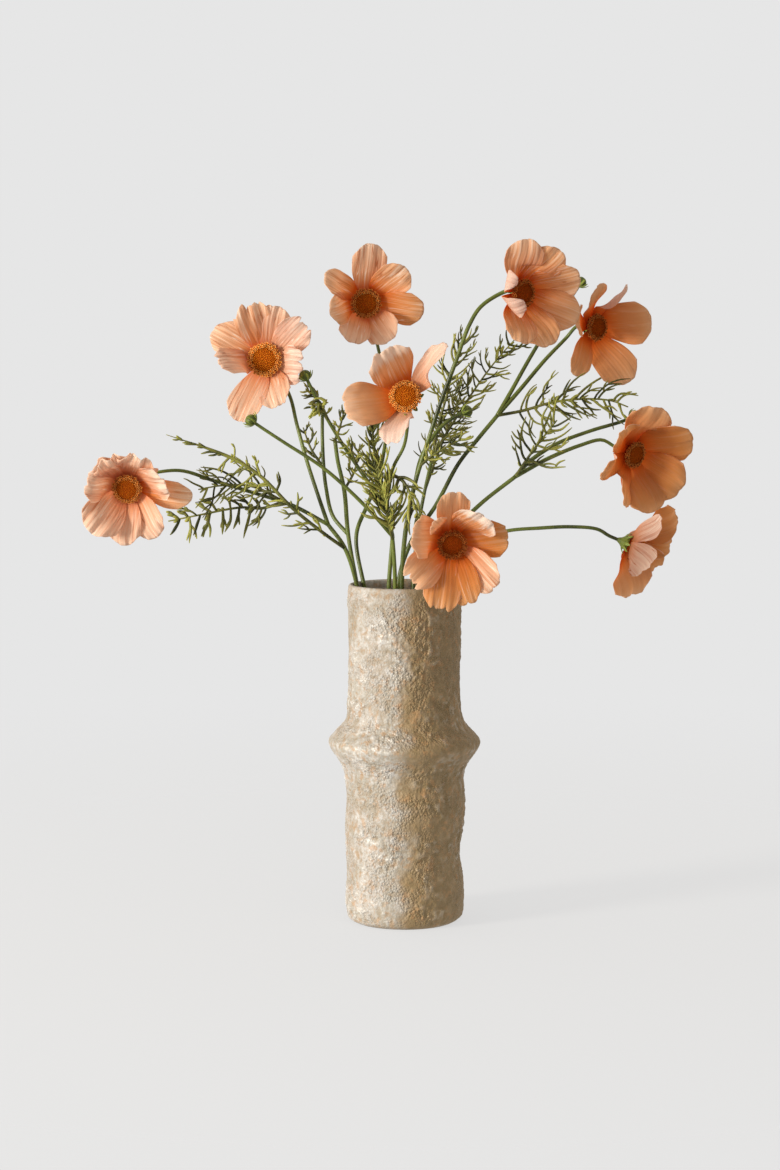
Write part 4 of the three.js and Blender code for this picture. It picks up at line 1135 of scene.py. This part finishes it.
eye = {
    "dome": [[0, 1.2], [4, 1.6], [8, 2.6], [10.4, 3.9], [11.4, 5.2], [10.6, 6.2], [8.6, 6.1], [6, 6.7],
             [3, 7.2], [0, 7.3]],
    "domeSides": 32,
    # how many florets are closed and open, and where they stand
    "closed": 170, "closedRadius": 8.6, "crown": 6.9, "crownFall": 0.8, "crownReach": 8,
    "open": 48, "openRadius": (9.5, 11.4), "openHeight": (5.9, 5.2),
    # the rows of a closed floret, an open one and its anthers as [radius, height, lobes, share of tip]
    "closedRows": [[0.55, -0.8, 0, 0.1], [0.62, 0.2, 0, 0.3], [0.52, 0.75, 0, 0.6], [0.2, 1, 0, 1]],
    "openRows": [[0.45, -1.6, 0, 0], [0.5, 0.7, 0, 0.3], [1, 1.6, 0.15, 0.9], [1.45, 1.7, 0.35, 1],
                 [0.7, 1.25, 0.1, 0.3]],
    "antherRows": [[0.3, 0.8, 0, 0], [0.38, 1.7, 0, 0.1], [0.34, 2.2, 0, 0.3], [0.12, 2.6, 0, 1]],
    "closedSides": 6, "openSides": 10, "antherSides": 5,
}


# Many small turned shapes, one for each place: the rows carried round an axis that leans out from the
# bloom's middle, their radius multiplied by 1 + lobes · cos(5 angle)
def florets(kind, places, leans, sizes, opened):
    radius, height, lobes, tip = (column[:, None] for column in np.transpose(eye[kind + "Rows"]))
    turn = around(eye[kind + "Sides"])
    local = polar(radius * (1 + lobes * np.cos(5 * turn)), turn, height)
    outward = unit(places * (1, 1, 0) + (1e-6, 0, 0))
    axis = unit(outward * np.sin(leans)[:, None] + np.array([0, 0, 1]) * np.cos(leans)[:, None])
    side = unit(np.cross(axis, outward + (0, 0, 0.001)))
    axes = np.stack([np.cross(side, axis), side, axis], 1)
    body = np.einsum("rsk,nkj->nrsj", local, axes) * sizes[:, None, None, None] + places[:, None, None]
    return closedSkins(body, body[:, [0, -1]].mean(2), {"tip": tip, "open": opened})


# Closed florets at golden angles on the dome, at radii that grow as the square root of their number,
# and a ring of open ones with five lobes, every third with its dark column of anthers
def eyePart(bloom, draw):
    dome = turned(eye["dome"], eye["domeSides"], values={"tip": 0.15, "open": 0.0})
    n = np.arange(eye["closed"])
    radius = eye["closedRadius"] * np.sqrt((n + 0.5) / len(n))
    height = eye["crown"] - eye["crownFall"] * (radius / eye["crownReach"]) ** 2
    places = polar(radius, n * np.pi * (3 - math.sqrt(5)), height)
    sizes = 0.9 + 0.2 * draw.uniform(-1, 1, len(n))
    closed = florets("closed", places, 0.05 * radius, sizes, 0.0)
    m = np.arange(eye["open"])
    radius, height = (np.where(m % 2 == 0, *eye[name]) for name in ("openRadius", "openHeight"))
    radius = radius + draw.uniform(-0.35, 0.35, len(m))
    turn = 2 * np.pi * (m + draw.uniform(-0.2, 0.2, len(m))) / len(m)
    places = polar(radius, turn, height + draw.uniform(-0.3, 0.3, len(m)))
    leans = 0.1 + 0.06 * (radius - 8) + draw.uniform(-0.15, 0.15, len(m))
    sizes = draw.uniform(0.7, 1.0, len(m))
    opened = florets("open", places, leans, sizes, 1.0)
    anthers = florets("anther", places[::3], leans[::3], sizes[::3], 0.7)
    whole = joined([dome, closed, opened, anthers])
    whole["points"] = whole["points"] * (bloom["eye"], bloom["eye"], 1)
    whole["values"]["dark"] = np.full(len(whole["points"]), bloom["dark"])
    return whole


# Florets of the eye, small waxy tubes dusted with pollen: burnt orange and matt, rusty between the
# tubes, with the open ones of the ring lit amber at their lobes, and a dark rust laid over the rest by
# the bloom's darkness, partly its own colour and partly painted shade
def discFlorets(add, place):
    dust = add("TexNoise", {"Vector": place, "Scale": perMetre(1.5), "Detail": 2.0})
    closed, ring = (add("ValToRGB", ["tip"], stops) for stops in (
        [(0, "#702802"), (0.5, "#a44604"), (1, "#d07a18")],
        [(0, "#742602"), (0.5, "#c46410"), (1, "#f4b160")]))
    skin = add("Mix", {0: "open", 6: closed, 7: ring}, data_type="RGBA")
    skin = layered(add, skin, [(dust, 0.5, 0.75, 0, 0.35, "#d8801c")])
    # painted shade, with the eye's own darker rust: the bloom's dark value lays a dark rust over all but
    # the ring's amber lobes
    lit = add("Math", ["open", "tip"], operation="MULTIPLY")
    shaded = add("MapRange", ["dark", 0, 1, 0, 0.8], **smooth)
    skin = layered(add, skin, [(lit, 0.3, 1, 1, 0.8, "#7e2902")], shaded)
    return add("BsdfPrincipled", {
        "Base Color": skin, "IOR": 1.45, "Roughness": 0.85, "Specular IOR Level": 0.08,
        "Normal": add("Bump", {"Height": dust, "Strength": 0.3, "Distance": 0.0003})})


eyeMaterial = newMaterial("discFlorets", discFlorets)
print("eyes", makeEach(eyePart, eyeMaterial, "eye_", "disc_", 90))


# Water

water = {
    "level": 188, "wallRadius": 38.7, "meniscus": 1.6, "rise": 1.4, "sides": 96, "rings": 40,
    # the body inside the vase as [radius, height], up to just under its surface
    "body": [[0, 9.4], [20, 9.4], [34.7, 9.4], [39.0, 20.5], [38.7, 130], [38.7, 180]],
}


# Still water: clear and slightly green in its depth, with hardly a ripple
def stillWater(add, place):
    ripple = add("TexNoise", {"Vector": place, "Scale": perMetre(16)})
    return add("BsdfPrincipled", {
        "Base Color": "#eef5f2", "IOR": 1.333, "Roughness": 0.02, "Transmission Weight": 1.0,
        "Normal": add("Bump", {"Height": ripple, "Strength": 0.08, "Distance": 0.001})})


# A still surface that creeps up the wall and round each stalk: the level plus a rise that falls off as
# exp(−distance / 1.6 mm). Below it the body follows the inside of the vase.
def makeWater():
    rings = np.linspace(water["wallRadius"] - 0.05, 0, water["rings"])
    profile = np.concatenate([water["body"], np.stack([rings, np.full(len(rings), water["level"])], -1)])
    radius, turn = profile[1:-1, :1], around(water["sides"])
    x, y = radius * np.cos(turn), radius * np.sin(turn)
    lift = water["rise"] * np.exp(-(water["wallRadius"] - radius) / water["meniscus"]) + 0 * x
    for stem in stems.values():
        foot, _, mouth = stemWay(stem)[:3]
        share = (water["level"] - foot[2]) / (mouth[2] - foot[2])
        crossing = foot + share * (mouth - foot)
        away = np.maximum(np.hypot(x - crossing[0], y - crossing[1]) - stalk["foot"], 0)
        lift = lift + 0.8 * water["rise"] * np.exp(-away / water["meniscus"])
    surface = np.arange(1, len(profile) - 1)[:, None] >= len(water["body"])
    body = turned(profile, water["sides"], lift=np.where(surface, lift, 0))
    return makePiece("stillWater", body, newMaterial("stillWater", stillWater), ["water"])


print("water", makeWater())

box = [[list(corner) for corner in pair] for pair in (cadBox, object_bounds())]
